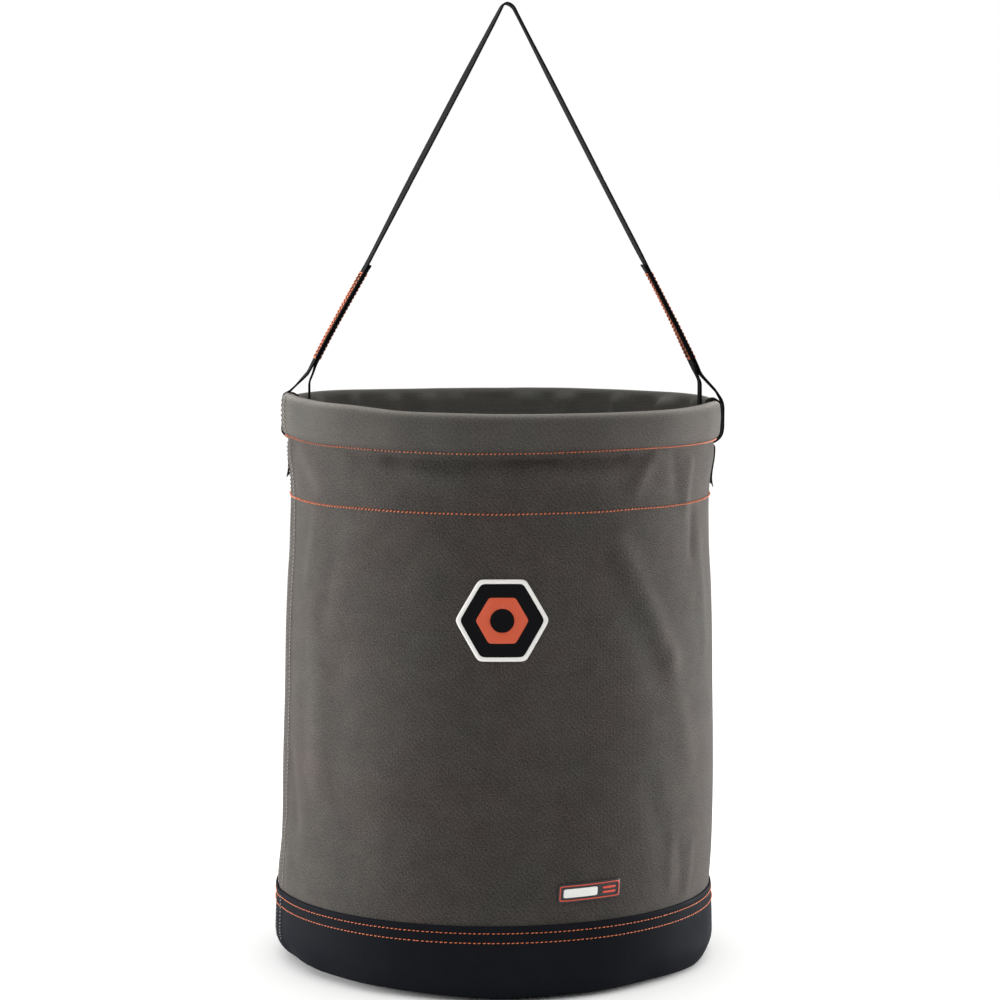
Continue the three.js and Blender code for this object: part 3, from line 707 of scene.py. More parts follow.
# %% Base pieces
def pillow(radius, low, thickness, crown, edge):
    """Outline of a disc: a flat underside, and a top that rises to the crown in the middle
    and rolls over at its edge."""
    reach = np.linspace(0, 1, 15)
    top = low + thickness + crown * (1 - reach**2)
    top[-1] -= edge
    under = np.column_stack([radius * reach, np.full(15, low)])
    return np.vstack([under, np.column_stack([radius * reach, top])[::-1]])


base_board = new_finish("recycled_plastic_board", "#2c2d30", 0.6)[0]
base_panel = ring("leather_base_panel", pillow(150, 0, LEATHER, 0, 0.2))
finish_piece(base_panel, boot_leather, "bucket", ["base_panel"])
stiffener = ring("base_stiffener_board", pillow(146.3, 1.8, 2.5, 0, 0.4))
finish_piece(stiffener, base_board, "bucket", ["base_stiffener"])


def floor_surface(azimuth, radius, height):
    """The floor cloth, with a shallow wave of 0.5 mm that dies out at its seam."""
    angle = np.radians(azimuth)
    swell = 0.5 * np.sin(3 * angle + 1) * np.sin(math.pi * np.clip(radius / 154, 0, 1))
    return place(azimuth, radius, height + np.where(height > 5, swell + 0.5, 0))


canvas_floor = ring("canvas_floor_disc", pillow(156, 4.6, CANVAS, 0.6, 0.2), floor_surface)
finish_piece(canvas_floor, duck_canvas, "bucket", ["canvas_floor"])
binding = ring("floor_binding_tape", [(149.5, 7.2), (154, 6.5), (158, 7.0), (159.4, 8.6),
                                      (158.6, 9.4), (157, 8.6), (154, 8.2), (150, 8.3)])
finish_piece(binding, strap_webbing, "bucket", ["floor_binding"])
print("base: panel, board, floor and binding")

# %% [markdown]
# ## The leather boot
# A strip of leather wraps the foot, turns under and has its top edge folded in. Its bottom
# corner was pulled round by hand, so it is fuller in front and flatter to either side.
# The leather is a thin sheet, so it is the same kind of grid as the canvas.

# %% Boot surface
boot_heights = np.concatenate([[17, 20], np.arange(24, 54, 3.5), [54.2, 55.4, 56.2]])
fold_in = 0.55 * ease(boot_heights, 52.4, 54.2) - 0.7 * ease(boot_heights, 55, 56.4)
boot_path = np.vstack([
    [[150.3, 0.75], [154, 0.75], [158.6, 0.8], [161.6, 1.3], [163.9, 2.6], [165.6, 4.8],
     [167.0, 7.6], [168.3, 10.8], [169.2, 13.8]],
    np.column_stack([boot_radius(boot_heights) - LEATHER / 2 + fold_in, boot_heights]),
])
boot_run, boot_way = travelled(boot_path), heading(boot_path)
BOOT_DENTS = [  # azimuth, height, half width round, half width up, rise in mm
    (201, 8, 4, 7, -1.6), (213, 4, 5, 6, 1.0), (224, 6, 6, 7, -1.2), (236, 3, 6, 6, 0.8),
    (249, 8, 6, 8, -0.5), (288, 6, 7, 8, -0.5), (301, 4, 5, 6, 0.9), (312, 8, 5, 7, -1.1),
    (322, 4, 4, 6, 1.0), (336, 6, 5, 8, 1.6), (343, 20, 3, 12, 0.5), (208, 30, 9, 14, 0.5),
    (330, 34, 8, 12, -0.5), (95, 7, 6, 7, -1.1), (120, 5, 5, 6, 0.8), (60, 8, 6, 7, -0.9),
    (150, 7, 5, 7, -1.0), (28, 6, 5, 6, 0.8), (270, 25, 30, 14, 0.35),
]


def boot(azimuth, run, out=0.0):
    """A point of the leather in metres: its profile moved out along its normal, plus dents
    that are bells in azimuth and in height, and the step over the seam's thickness."""
    azimuth, run = np.broadcast_arrays(azimuth, run)
    r, z, way_r, way_z = follow(run, boot_run, boot_path, boot_way)
    r, z = r + out * way_z, z - out * way_r
    for centre, height, half_turn, half_height, rise in BOOT_DENTS:
        shape = rise * bell(turned_from(azimuth, centre), half_turn)
        r = r + shape * bell(z - height, half_height) * ease(run, 4, 12)
    foot = ease(run, 4, 12) * (1 - ease(z, 8, 26))
    fuller = 2.0 * bell(turned_from(azimuth, FRONT), 24)
    flatter = 1.5 * bell(turned_from(azimuth, 217), 12) + 0.8 * bell(turned_from(azimuth, 318), 10)
    r = r + foot * (fuller - flatter)
    from_seam = turned_from(azimuth, SEAM_AZIMUTH - 1)
    r = r + 0.8 * (ease(from_seam, -3.6, -3.0) - ease(from_seam, 3.2, 4.2)) * ease(z, 2, 8)
    return place(azimuth, r, z)


run_grid, azimuth_grid = np.meshgrid(boot_run, azimuths, indexing="ij")
cut_map = np.column_stack([(azimuth_grid * ROUND_BOOT).ravel(), run_grid.ravel()])
boot_band = make_mesh("leather_boot", boot(azimuth_grid, run_grid).reshape(-1, 3),
                      [grid_faces(len(boot_run), COLUMNS, close_columns=True)], cut_map)
tidy(boot_band, LEATHER)
finish_piece(boot_band, boot_leather, "bucket", ["base_band"])
print("boot: the leather is", round(boot_run[-1]), "mm wide")


def boot_run_at(height):
    """Distance along the leather at a height above the corner."""
    return np.interp(height, boot_path[8:, 1], boot_run[8:])


# %% [markdown]
# ## Stitches
# A row of lockstitch is hundreds of short lengths of thread that go into the cloth at both
# ends. Each one here is a tapered tube of a few dozen faces that rises out of the surface
# and dives back in. A row only needs to know the surface it runs along, as a function of
# the distance along the row, the distance to its side and the height above the cloth.

# %% Stitch builder
STITCH_STOPS = np.array([-1.0, -0.62, 0.0, 0.62, 1.0])
STITCH_SIDES = 6


def stitches(name, rows, material, body, nodes=()):
    """One mesh of many stitches. Each row is (track, starts, ends, sides, thickness), where
    track(along, side, out) gives points in metres, starts and ends are places along it in
    mm, and sides is how far each end leans to the side. Out follows 1.1 - 2.1 t^4."""
    points, tubes, caps, cuts = [], [], [], []
    count = 0
    for track, starts, ends, sides, thickness in rows:
        starts, ends, sides = np.broadcast_arrays(starts, ends, sides)
        t = STITCH_STOPS[None, :, None]
        middle, half = ((starts + ends) / 2)[:, None, None], ((ends - starts) / 2)[:, None, None]
        turn = np.arange(STITCH_SIDES)[None, None, :] * 2 * math.pi / STITCH_SIDES
        fat = thickness / 2 * (1 - 0.55 * t**4)
        side = sides[:, None, None] * t + fat * np.cos(turn)
        out = thickness / 2 * (1.1 - 2.1 * t**4) + fat * np.sin(turn) * 0.9
        place_along, side, out = np.broadcast_arrays(middle + half * t, side, out)
        points.append(track(place_along, side, out).reshape(-1, 3))
        cuts.append(np.column_stack([place_along.ravel(), (turn * 0.3 + 0 * out).ravel()]))
        size = len(STITCH_STOPS) * STITCH_SIDES
        firsts = count + np.arange(len(starts)) * size
        one = grid_faces(len(STITCH_STOPS), STITCH_SIDES, close_columns=True)
        tubes.append((firsts[:, None, None] + one[None]).reshape(-1, 4))
        cap = np.arange(STITCH_SIDES)
        caps.append(firsts[:, None] + cap[::-1][None])
        caps.append(firsts[:, None] + (size - STITCH_SIDES) + cap[None])
        count += len(starts) * size
    faces = [np.vstack(tubes), np.vstack(caps)]
    piece = tidy(make_mesh(name, np.vstack(points), faces, np.vstack(cuts)))
    finish_piece(piece, material, body, nodes)
    print(name, "has", count // (len(STITCH_STOPS) * STITCH_SIDES), "stitches")
    return piece


def round_row(surface, run, radius, pitch, thickness, slant, wave, gap):
    """A row right round the bucket: stitches of one pitch, each slanted, on a line that
    wanders by wave mm, with a share of the pitch left as a gap. Returns a row for
    stitches()."""
    total = 2 * math.pi * radius
    number = int(round(total / pitch))
    starts = np.arange(number) * total / number
    wander = smooth_curve(np.linspace(0, total, 60), random.normal(0, wave, 60), 12)

    def track(place_along, side, out):
        return surface(np.degrees(place_along / radius), run + wander(place_along) + side, out)

    lean = slant * (1 + random.normal(0, 0.25, number))
    jitter = random.normal(0, 0.05 * pitch, number)
    return track, starts + jitter, starts + jitter + pitch * (1 - gap), lean, thickness


def on_cloth(azimuth, run, out):
    """The canvas's outer face, with out measured from that face."""
    return cloth(azimuth, run, CANVAS / 2 + out)


def on_boot(azimuth, run, out):
    """The leather's outer face."""
    return boot(azimuth, run, LEATHER / 2 + out)


# %% Rows round the bucket
rim_row = round_row(on_cloth, crease_run + 2.2, WALL_RADIUS, 3.1, 1.1, 0.5, 0.2, gap=0.42)
rim_stitch = stitches("rim_stitches", [rim_row], orange_thread, "bucket",
                      ["rim_stitch"])
hem_row = round_row(on_cloth, run_at(HEM_HEIGHT), 161, 3.2, 1.1, 0.4, 0.35, gap=0.38)
hem_stitch = stitches("hem_stitches", [hem_row], orange_thread, "bucket",
                      ["hem_stitch"])
for label, height in (("upper", 51.4), ("lower", 44.3)):
    boot_row = round_row(on_boot, boot_run_at(height), BOOT_RADIUS, 3.5, 0.8, 0.12, 0.08, gap=0.28)
    stitches(f"boot_stitches_{label}", [boot_row], orange_thread, "bucket",
             [f"band_stitch_{label}"])

# %% [markdown]
# ## The side seam
# The tube is closed by one upright lapped seam on its left, held by two rows of grey thread
# that run from the boot up over the roll. The overlap is already in the cloth's shape, and
# the flap of spare cloth hangs inside.

# %% Seam rows and flap
def upright_row(surface, azimuth, radius, low, high, pitch, thickness, wander_mm):
    """A row up the bucket at one azimuth, between two distances along the cloth."""
    number = int((high - low) / pitch)
    starts = low + np.arange(number) * pitch
    wander = smooth_curve(np.linspace(low, high, 24), random.normal(0, wander_mm, 24), 14)

    def track(place_along, side, out):
        turn = azimuth + np.degrees((wander(place_along) + side) / radius)
        return surface(turn, place_along, out)

    lean = 0.1 + random.normal(0, 0.08, number)
    return track, starts, starts + pitch * 0.62, lean, thickness


for row, azimuth in SEAM_ROWS:
    seam_rows = [
        upright_row(on_cloth, azimuth, WALL_RADIUS, run_at(60), crease_run - 3, 3.0, 0.8, 0.35),
        upright_row(on_cloth, azimuth, CUFF_RADIUS, crease_run + 6, top_run + 6, 3.0, 0.8, 0.1),
        upright_row(on_boot, azimuth, BOOT_RADIUS, boot_run_at(15), boot_run[-1] - 2, 3.0, 0.7,
                    0.1),
    ]
    stitches(f"seam_stitches_{row}", seam_rows, grey_thread, "bucket",
             [f"seam_stitch_{row}"])


def behind_cloth(u, run, out):
    """Inside the wall: u is the distance round from the seam in mm."""
    return cloth(SEAM_AZIMUTH + np.degrees(u / 163), run, -CANVAS * 1.5 - 0.3 + out)


flap = curved_block("side_seam_inner_flap", behind_cloth, (-8, 8), (run_at(62), run_at(348)),
                    (-CANVAS / 2, CANVAS / 2), (9, 60))
finish_piece(flap, duck_canvas, "bucket", ["side_seam_flap"])

# %% [markdown]
# ## The hoop inside the roll
# A flat plastic strip is bent round and its ends are held by a plate with four rivets. It is
# hidden by the canvas, but it belongs to the bucket, so it is built to size.

# %% Hoop, plate and rivets
hoop_plastic = new_finish("polyethylene_strip", "#d9d7d0", 0.5, ior=1.5)[0]
rivet_steel = new_finish("zinc_plated_steel", "#b9bbbe", 0.35, metallic=1.0)[0]
hoop = ring("hoop_strip", [(162.3, 407.5), (162.9, 406.9), (165.6, 406.9), (166.2, 407.5),
                           (166.2, 425), (165.6, 425.6), (162.9, 425.6), (162.3, 425)])
finish_piece(hoop, hoop_plastic, "bucket", ["rim_hoop"])


HOOP_JOINT = 193  # azimuth of the plate
HOOP_INSIDE = 162.3
HOOP_MIDDLE = 416.25  # height


def inside_hoop(u, height, out):
    """Round the inner face of the hoop, with u in mm from its joint."""
    return place(HOOP_JOINT + np.degrees(u / 162), HOOP_INSIDE + out, height)


plate = curved_block("hoop_splice_cover", inside_hoop, (-30, 30), (409.3, 423.2), (-0.35, 0.0),
                     (16, 5))
finish_piece(plate, hoop_plastic, "bucket", ["hoop_splice_plate"])
RIVET_TURNS = (-7.5, -3.5, 3.5, 7.5)
dome = np.array([(0, 0.9), (1.4, 0.8), (2.6, 0.5), (3.4, 0.1), (3.4, -0.2), (2.2, -0.3),
                 (2.2, -3.6), (0, -3.6)])
for number, turn in enumerate(RIVET_TURNS, start=1):
    spin, row = np.meshgrid(np.arange(16) * math.pi / 8, np.arange(len(dome)))
    u = dome[row, 0] * np.cos(spin)
    up = dome[row, 0] * np.sin(spin)
    points = place(HOOP_JOINT + turn + np.degrees(u / 166), 166.0 + dome[row, 1], HOOP_MIDDLE + up)
    rivet = make_mesh(f"rivet_{number}", points.reshape(-1, 3),
                      [grid_faces(len(dome), 16, close_columns=True)])
    finish_piece(tidy(rivet), rivet_steel, "bucket", [f"hoop_rivet_{number}"])
print("hoop, plate and", len(RIVET_TURNS), "rivets")

# %% [markdown]
# ## Webbing
# A strap is a line with a width. The line is drawn as a few points in the plane across the
# bucket, rounded, and cut into short even steps. At every step the strap also has a
# direction across it, which turns a few degrees up the strap because limp webbing twists.
# Its outline is a flat oval with thick closed edges.

# %% Strap builder
def soft_path(points, step, spread):
    """A polyline cut into even steps, then averaged along itself with a bell, ends kept."""
    points = np.asarray(points, float)
    run = travelled(points)
    fine = np.arange(0, run[-1], step / 4)
    weights = bell(np.arange(-3 * spread, 3 * spread + 1e-9, step / 4), spread)
    weights = weights / weights.sum()
    pad = len(weights) // 2
    columns = []
    for k in range(points.shape[1]):
        values = np.interp(fine, run, points[:, k])
        before = 2 * values[0] - values[pad:0:-1]
        after = 2 * values[-1] - values[-2 : -pad - 2 : -1]
        columns.append(np.convolve(np.concatenate([before, values, after]), weights, "valid"))
    smooth = np.column_stack(columns)
    run = travelled(smooth)
    even = np.linspace(0, run[-1], int(run[-1] / step) + 1)
    return np.column_stack([np.interp(even, run, smooth[:, k]) for k in range(points.shape[1])])


def oval(width, thickness):
    """Outline of a strap's end as (across, out) points: flat faces and rounded edges that
    are 8 % thicker than the middle."""
    half, deep = width / 2, thickness / 2
    across = np.array([-1, -0.9, -0.6, -0.3, 0, 0.3, 0.6, 0.9, 1]) * (half - deep)
    thick = deep * np.array([1.08, 1.0, 0.95, 0.95, 0.95, 0.95, 0.95, 1.0, 1.08])
    top = np.column_stack([across, thick])
    edge = np.array([(half - deep * 0.3, deep * 0.7), (half, 0), (half - deep * 0.3, -deep * 0.7)])
    return np.vstack([top, edge, np.column_stack([across, -thick])[::-1], -edge])


def strap_mesh(name, surface, length, width, thickness, steps):
    """A closed strap: the oval carried along surface(along, across, out), with both ends
    capped, a little smaller there so that the cut edge looks melted round."""
    outline = oval(width, thickness)
    between = np.linspace(0.9, length - 0.9, steps)
    stops = np.concatenate([[0, 0.35], between, [length - 0.35, length]])
    shrink = np.ones(len(stops))
    shrink[[0, -1]], shrink[[1, -2]] = 0.55, 0.88
    along_grid = np.repeat(stops[:, None], len(outline), 1)
    inward = np.sign(outline[None, :, 0]) * (1 - shrink[:, None]) * thickness / 2
    across = outline[None, :, 0] - inward
    out = outline[None, :, 1] * shrink[:, None]
    points = surface(along_grid, across, out)
    size = len(outline)
    cap = np.arange(size)
    caps = np.stack([cap[::-1], (len(stops) - 1) * size + cap])
    cut = np.column_stack([along_grid.ravel(), (across + 0 * along_grid).ravel()])
    piece = make_mesh(name, points.reshape(-1, 3),
                      [grid_faces(len(stops), size, close_columns=True), caps], cut)
    return tidy(piece)


# %% [markdown]
# ### The loop and the leg at each side
# Each side is one length of webbing. It starts as the sewn-back end on the inside, goes down
# into the mouth, turns out through the slit under the roll, comes up round the outside and
# leans in to meet its own end. Near the rim it lies on the pinched and lifted shape of the
# bucket, and above it is free, so the two ways of placing it are mixed by height.

# %% Path of a leg
STRAP_LEAN = 0.52  # how far a leg leans in for each 1 up
LAP_SHIFT = (WEBBING + 0.3) * math.hypot(1, STRAP_LEAN)  # from the leg to its sewn-back end
LAP_TOP = 533.0
SPLIT_HEIGHT = 598.0  # the legs end here and the top of the strap begins
STRAP_OUT = 7.05  # middle of the strap from the middle of the roll
# Twist in degrees and shift along X in mm, by height.
twist_at = {
    "left": smooth_curve(
        [400, 440, 459, 475, 490, 506, 521, 533, 541, 552, 583, 614, 676, 707, 735],
        [3, 3.6, 6.0, 5.8, 6.3, 7.4, 8.0, 7.8, 7.2, 7.6, 10.0, 10.6, 10.6, 8.0, 6.0], 5),
    "right": smooth_curve(
        [400, 438, 452, 459, 475, 490, 506, 521, 533, 541, 552, 583, 614, 676, 707, 735],
        [-4, -3.4, 6.5, 6.0, 4.6, 2.9, 1.9, 1.9, 3.6, 5.4, 5.6, 5.2, 5.6, 5.4, 2.6, 1.8], 5),
}
shift_at = {
    "left": smooth_curve([428, 437, 444, 459, 475, 490, 506, 521, 533, 600, 735],
                         [1.4, 3.2, 2.7, 2.2, 2.2, 2.7, 3.4, 4.2, 4.8, 4.9, 4.7], 5),
    "right": smooth_curve([428, 437, 444, 459, 475, 490, 506, 521, 533, 600, 735],
                          [1.0, 2.2, 2.3, 3.7, 4.3, 4.9, 4.9, 5.0, 4.6, 4.4, 4.7], 5),
}


def leg_x(height):
    """Middle of a leg: a straight line that leans in with the height."""
    return 140.05 - STRAP_LEAN * (height - 469.6)


round_roll = arc(ROLL_X, ROLL_TOP, STRAP_OUT, 45, 0, 4)
leg_points = np.vstack([
    [[leg_x(LAP_TOP) - LAP_SHIFT - 0.5, LAP_TOP]],
    [[leg_x(LAP_TOP - 6) - LAP_SHIFT, LAP_TOP - 6]],
    [[151.0, 444.0], [151.0, 407.4], [151.8, 402.6], [154.3, 399.5]],
    [[158.0, 398.4], [163.0, 398.5]],
    roll_under(3.2, -68, 0, 6),
    round_roll[::-1],
    [[149.9, 450.7], [leg_x(SPLIT_HEIGHT), SPLIT_HEIGHT]],
])
leg_line = soft_path(leg_points, 1.5, 1.6)
leg_run, leg_way = travelled(leg_line), heading(leg_line)
leg_low = leg_run[np.argmin(leg_line[:, 1])]
INNER = {"left": (4.3, 2.4), "right": (2.6, 1.5)}  # shift and twist of the part inside the rim
print("each leg's webbing is", round(leg_run[-1]), "mm long")


def leg_surface(side):
    """surface(along, across, out) of the left or right leg. across runs towards the back.
    On the rim a point is at an azimuth of across / radius; above, the width is turned about
    the upright by the twist. The part inside the rim has its own shift and twist, and the
    part outside leaves the rim with its back edge a little lower."""
    sign = -1 if side == "left" else 1

    def surface(place_along, across, out):
        x, z, way_x, way_z = follow(place_along, leg_run, leg_line, leg_way)
        x_out, z_out = x + out * way_z, z - out * way_x
        inner = 1 - ease(place_along, leg_low - 4, leg_low + 4)
        near = inner * (1 - ease(z, 446, 460))
        fall = 0.075 * (1 - inner) * ease(z, 425, 433) * (1 - ease(z, 438, 450))
        centre = LEFT if side == "left" else RIGHT
        turn = centre + sign * np.degrees(across / np.maximum(x, 100))
        hugging = place(turn, x_out, z_out)
        twist = np.radians(twist_at[side](z) + near * (INNER[side][1] - twist_at[side](z)))
        shift = shift_at[side](z) + near * (INNER[side][0] - shift_at[side](z))
        free = MM * np.stack([
            sign * x_out * np.ones_like(across) - across * np.sin(twist) + shift,
            across * np.cos(twist) - sign * out * way_z * np.sin(twist),
            z_out + 0 * across,
        ], axis=-1)
        share = (1 - ease(z, 427 - 15 * inner, 438 - 13 * inner))[..., None]
        point = share * hugging + (1 - share) * free
        point[..., 2] -= MM * fall * across
        return point

    return surface


# %% [markdown]
# When the strap falls over, the webbing folds just above the rim. Below the fold it stays
# with the bucket and above it it goes with the handle. SWING_BEND lists those two bodies and
# a short span of heights for the fold, where the doubled, sewn part begins, which is too
# stiff to fold; the pieces are not bent here.

# %% Legs
SWING_BEND = ("bucket", "handle", SWING_HEIGHT - 5, SWING_HEIGHT + 20)
for side in ("left", "right"):
    leg = strap_mesh(f"{side}_strap_webbing", leg_surface(side), leg_run[-1], WEBBING_WIDTH,
                     WEBBING, 190)
    finish_piece(leg, strap_webbing, SWING_BEND,
                 [f"{side}_strap_loop", f"{side}_strap_leg", f"{side}_strap_lap"])
    print(leg.name, "has", len(leg.data.polygons), "faces")

# %% [markdown]
# ### The box stitch
# The sewn-back end is held by a long box of orange thread with a cross in it, which shows
# on the outer face of the strap and on the inner face of the lap. It is given the same
# SWING_BEND as the webbing, which is not applied here.

# %% Box stitches
BOX = {"low": 462.0, "high": 527.0, "half_width": 9.6}


def leg_run_at(height, lap):
    """Distance along the leg at a height, on the sewn-back end or on the outer part."""
    half = int(np.argmin(leg_line[:, 1]))
    part = slice(0, half) if lap else slice(half, None)
    order = np.argsort(leg_line[part, 1])
    return np.interp(height, leg_line[part, 1][order], leg_run[part][order])


def line_stitches(surface, start, end, pitch, thickness, face):
    """Stitches on a straight line between two (along, across) points of a strap, on its
    outer face (1) or its other face (-1)."""
    start, end = np.asarray(start, float), np.asarray(end, float)
    length = np.linalg.norm(end - start)
    way = (end - start) / length
    number = max(int(round(length / pitch)), 1)
    starts = np.arange(number) * length / number

    def track(place_along, side, out):
        a = start[0] + way[0] * place_along - way[1] * side
        b = start[1] + way[1] * place_along + way[0] * side
        return surface(a, b, face * (WEBBING / 2 * 0.96 + out))

    return track, starts, starts + length / number * 0.8, 0.12, thickness


for side in ("left", "right"):
    rows = []
    surface = leg_surface(side)
    for lap, face in ((False, 1), (True, 1)):
        low, high = leg_run_at(BOX["low"], lap), leg_run_at(BOX["high"], lap)
        half = BOX["half_width"]
        corners = [(low, -half), (low, half), (high, half), (high, -half)]
        lines = [(corners[i], corners[(i + 1) % 4]) for i in range(4)]
        lines += [(corners[0], corners[2]), (corners[1], corners[3])]
        lines += [((low, -half + 2), (high, -half + 2)), ((low, half - 2), (high, half - 2))]
        rows += [line_stitches(surface, a, b, 3.2, 1.0, face) for a, b in lines]
    stitches(f"{side}_strap_box_stitches", rows, orange_thread, SWING_BEND,
             [f"{side}_box_stitch"])

# %% [markdown]
# ### The top of the strap
# One length joins the two legs and is held up in a point, so it is folded tightly over what
# carries it. The fold is a small arc, a little flattened, with the legs pressed together.

# %% Top strap
apex_points = np.array([
    (-leg_x(SPLIT_HEIGHT), SPLIT_HEIGHT), (-3.9, 728.2), (-2.4, 731.4), (0.6, 731.9),
    (3.2, 730.6), (5.4, 729.0), (leg_x(SPLIT_HEIGHT), SPLIT_HEIGHT),
])
apex_line = soft_path(apex_points, 1.5, 1.2)
apex_run, apex_way = travelled(apex_line), heading(apex_line)


def top_surface(place_along, across, out):
    """The strap over the apex: a line in the plane across the bucket, with its width turned
    about the upright by the twist. Out points up and away from the bucket."""
    x, z, way_x, way_z = follow(place_along, apex_run, apex_line, apex_way)
    to_right = ease(x, -12, 12)
    twist = np.radians((1 - to_right) * twist_at["left"](z) + to_right * twist_at["right"](z))
    shift = (1 - to_right) * shift_at["left"](z) + to_right * shift_at["right"](z)
    return MM * np.stack([
        x - out * way_z - across * np.sin(twist) + shift,
        across * np.cos(twist) + out * way_z * np.sin(twist),
        z + out * way_x + 0 * across,
    ], axis=-1)


DROOP_BEND = ("handle", "handle_top", DROOP_HEIGHT - 3, DROOP_HEIGHT + 40)
top_strap = strap_mesh("top_strap_webbing", top_surface, apex_run[-1], WEBBING_WIDTH, WEBBING, 200)
finish_piece(top_strap, strap_webbing, DROOP_BEND, ["strap_apex"])
print("top strap:", round(apex_run[-1]), "mm long")

# %% [markdown]
# ### The rim guards
# A wider, thinner piece of webbing covers the roll under each strap, so that the strap does
# not wear the canvas. Its lower end hangs loose below the crease and curls away.

# %% Guards and tails
guard_points = np.vstack([
    [[164.4, 401.2]],
    roll_under(1.6, -62, 0, 6), arc(ROLL_X, ROLL_TOP, 5.3, 0, 180, 12),
    [[ROLL_X - 5.3, 406]],
])
guard_line = soft_path(guard_points, 1.2, 1.0)
guard_run, guard_way = travelled(guard_line), heading(guard_line)


def hugging_strip(line, run, way, centre):
    """surface(along, across, out) of webbing that lies on the bucket at one side."""
    sign = -1 if centre == LEFT else 1

    def surface(place_along, across, out):
        x, z, way_x, way_z = follow(place_along, run, line, way)
        turn = centre + sign * np.degrees(across / x)
        return place(turn, x + out * way_z, z - out * way_x)

    return surface


TAIL_ENDS = {"left": 370.0, "right": 364.0}
TAIL = 0.7  # thickness
# How far a tail stands off the wall, in mm, from its end upwards.
TAIL_GAPS = {"left": (2.6, 1.0, 0.2, 0.0), "right": (2.2, 0.6, 0.2, 0.2)}
for side, centre in (("left", LEFT), ("right", RIGHT)):
    guard_surface = hugging_strip(guard_line, guard_run, guard_way, centre)
    guard = strap_mesh(f"{side}_guard_webbing", guard_surface, guard_run[-1], GUARD_WIDTH,
                       GUARD, 60)
    finish_piece(guard, strap_webbing, "bucket", [f"{side}_rim_guard"])
    end = TAIL_ENDS[side]
    tail_z = np.linspace(396, end, 9)
    stand_off = np.interp(tail_z, [end, end + 6, 385, 396], TAIL_GAPS[side])
    tail_r = wall_radius(tail_z) + 0.55 + stand_off
    tail_line = soft_path(np.column_stack([tail_r, tail_z]), 1.5, 1.5)
    tail_run, tail_way = travelled(tail_line), -heading(tail_line)
    tail_surface = hugging_strip(tail_line, tail_run, tail_way, centre)
    tail = strap_mesh(f"{side}_guard_tail_webbing", tail_surface, tail_run[-1], GUARD_WIDTH,
                      TAIL, 24)
    finish_piece(tail, strap_webbing, "bucket", [f"{side}_guard_tail"])
print("guards and tails")

# %% [markdown]
# ## The sewn patch
# The patch is a hexagon of black twill with a satin-stitched white edge and an orange nut in
# the middle. Each part is a closed band between two hexagons with rounded corners, raised
# in a low arch like a padded satin stitch, and laid on the wall as a surface.

# %% Patch shapes
def hexagon_reach(angle, across_flats, corner):
    """Distance from the centre to a hexagon with rounded corners: the soft minimum of the
    distances to its six sides, as a power mean."""
    angle = np.asarray(angle)[..., None] - np.radians(np.arange(30, 390, 60))
    facing = np.clip(np.cos(angle), 1e-3, None) / (across_flats / 2)
    return (facing**corner).sum(-1) ** (-1 / corner)


def on_front(u, v, out, centre=(FRONT + 0.8, 281.0), tilt=0.0):
    """A point of the wall at u mm right and v mm up from a centre, out mm above the cloth."""
    tilt = math.radians(tilt)
    across, up = u * math.cos(tilt) - v * math.sin(tilt), u * math.sin(tilt) + v * math.cos(tilt)
    return on_cloth(centre[0] + np.degrees(across / 164), run_at(centre[1] + up), out)


def band_on_front(name, inner, outer, profile, surface, spokes):
    """A closed band between two outlines, each a function of the angle. profile is a list of
    (share of the way out, height above the cloth)."""
    profile = np.asarray(profile, float)
    angle, row = np.meshgrid(np.arange(spokes) * 2 * math.pi / spokes, np.arange(len(profile)))
    reach = inner(angle) + (outer(angle) - inner(angle)) * profile[row, 0]
    points = surface(reach * np.cos(angle), reach * np.sin(angle), profile[row, 1])
    edge = np.column_stack([np.cos(angle[0]), np.sin(angle[0])]) * outer(angle[0])[:, None]
    rim = travelled(edge)
    cut = np.column_stack([np.tile(rim, len(profile)), (reach + 0 * angle).ravel()])
    faces = grid_faces(len(profile), spokes, close_rows=True, close_columns=True)
    return tidy(make_mesh(name, points.reshape(-1, 3), [faces], cut))


def satin(base, rise):
    """Profile of padded satin stitch: flat below, and the upper half of an oval above."""
    angle = np.linspace(0, math.pi, 9)
    top = np.column_stack([0.5 - 0.5 * np.cos(angle), base + rise * np.sin(angle)])
    return np.vstack([[(0, 0.05)], top, [(1, 0.05)]])


corner = round(float(hexagon_reach(0, 60, 26)), 1)
print("a rounded hexagon 60 mm across its flats reaches", corner, "mm to a corner")

# %% Patch finishes
def threads_abreast(tree):
    """Threads side by side across the band, drawn 0.7 mm apart so that they show, with painted
    shade between them.
    """
    cut = add_node(tree, "UVMap", uv_map="cut")
    threads = add_node(tree, "TexWave", {"Vector": cut, "Scale": WAVE_TURN / 0.7,
                                         "Distortion": 0.3, "Detail": 1.0}, 1,
                       bands_direction="X")
    return threads, threads


def make_satin(name, low, high):
    """Rayon satin stitch, with the shine of threads that lie side by side and painted shade
    between them.
    """
    return patterned(name, low, high, 0.45, threads_abreast, 0.6, 0.0003, ior=1.5,
                     sheen_weight=0.2)


# The first colour of each satin is painted shade between its threads, the second its own colour.
satin_white = make_satin("rayon_satin_stitch_white", "#d6d3cd", "#fbfaf8")
satin_orange = make_satin("rayon_satin_stitch_orange", "#b23c12", "#dc5220")
# The twill's first colour is painted shade in its grooves, as on the strap.
twill_black = make_webbing("black_cotton_twill", "#0e0e10", 0.9)
print("made", satin_white.name, satin_orange.name, "and", twill_black.name)

# %% Patch pieces
PATCH_FLATS = 59.5


def hexagon(size, corner=26):
    """A hexagon outline as a function of the angle only."""
    return lambda angle: hexagon_reach(angle, size, corner)


def nothing(angle):
    """The centre, for a filled shape."""
    return 0 * angle


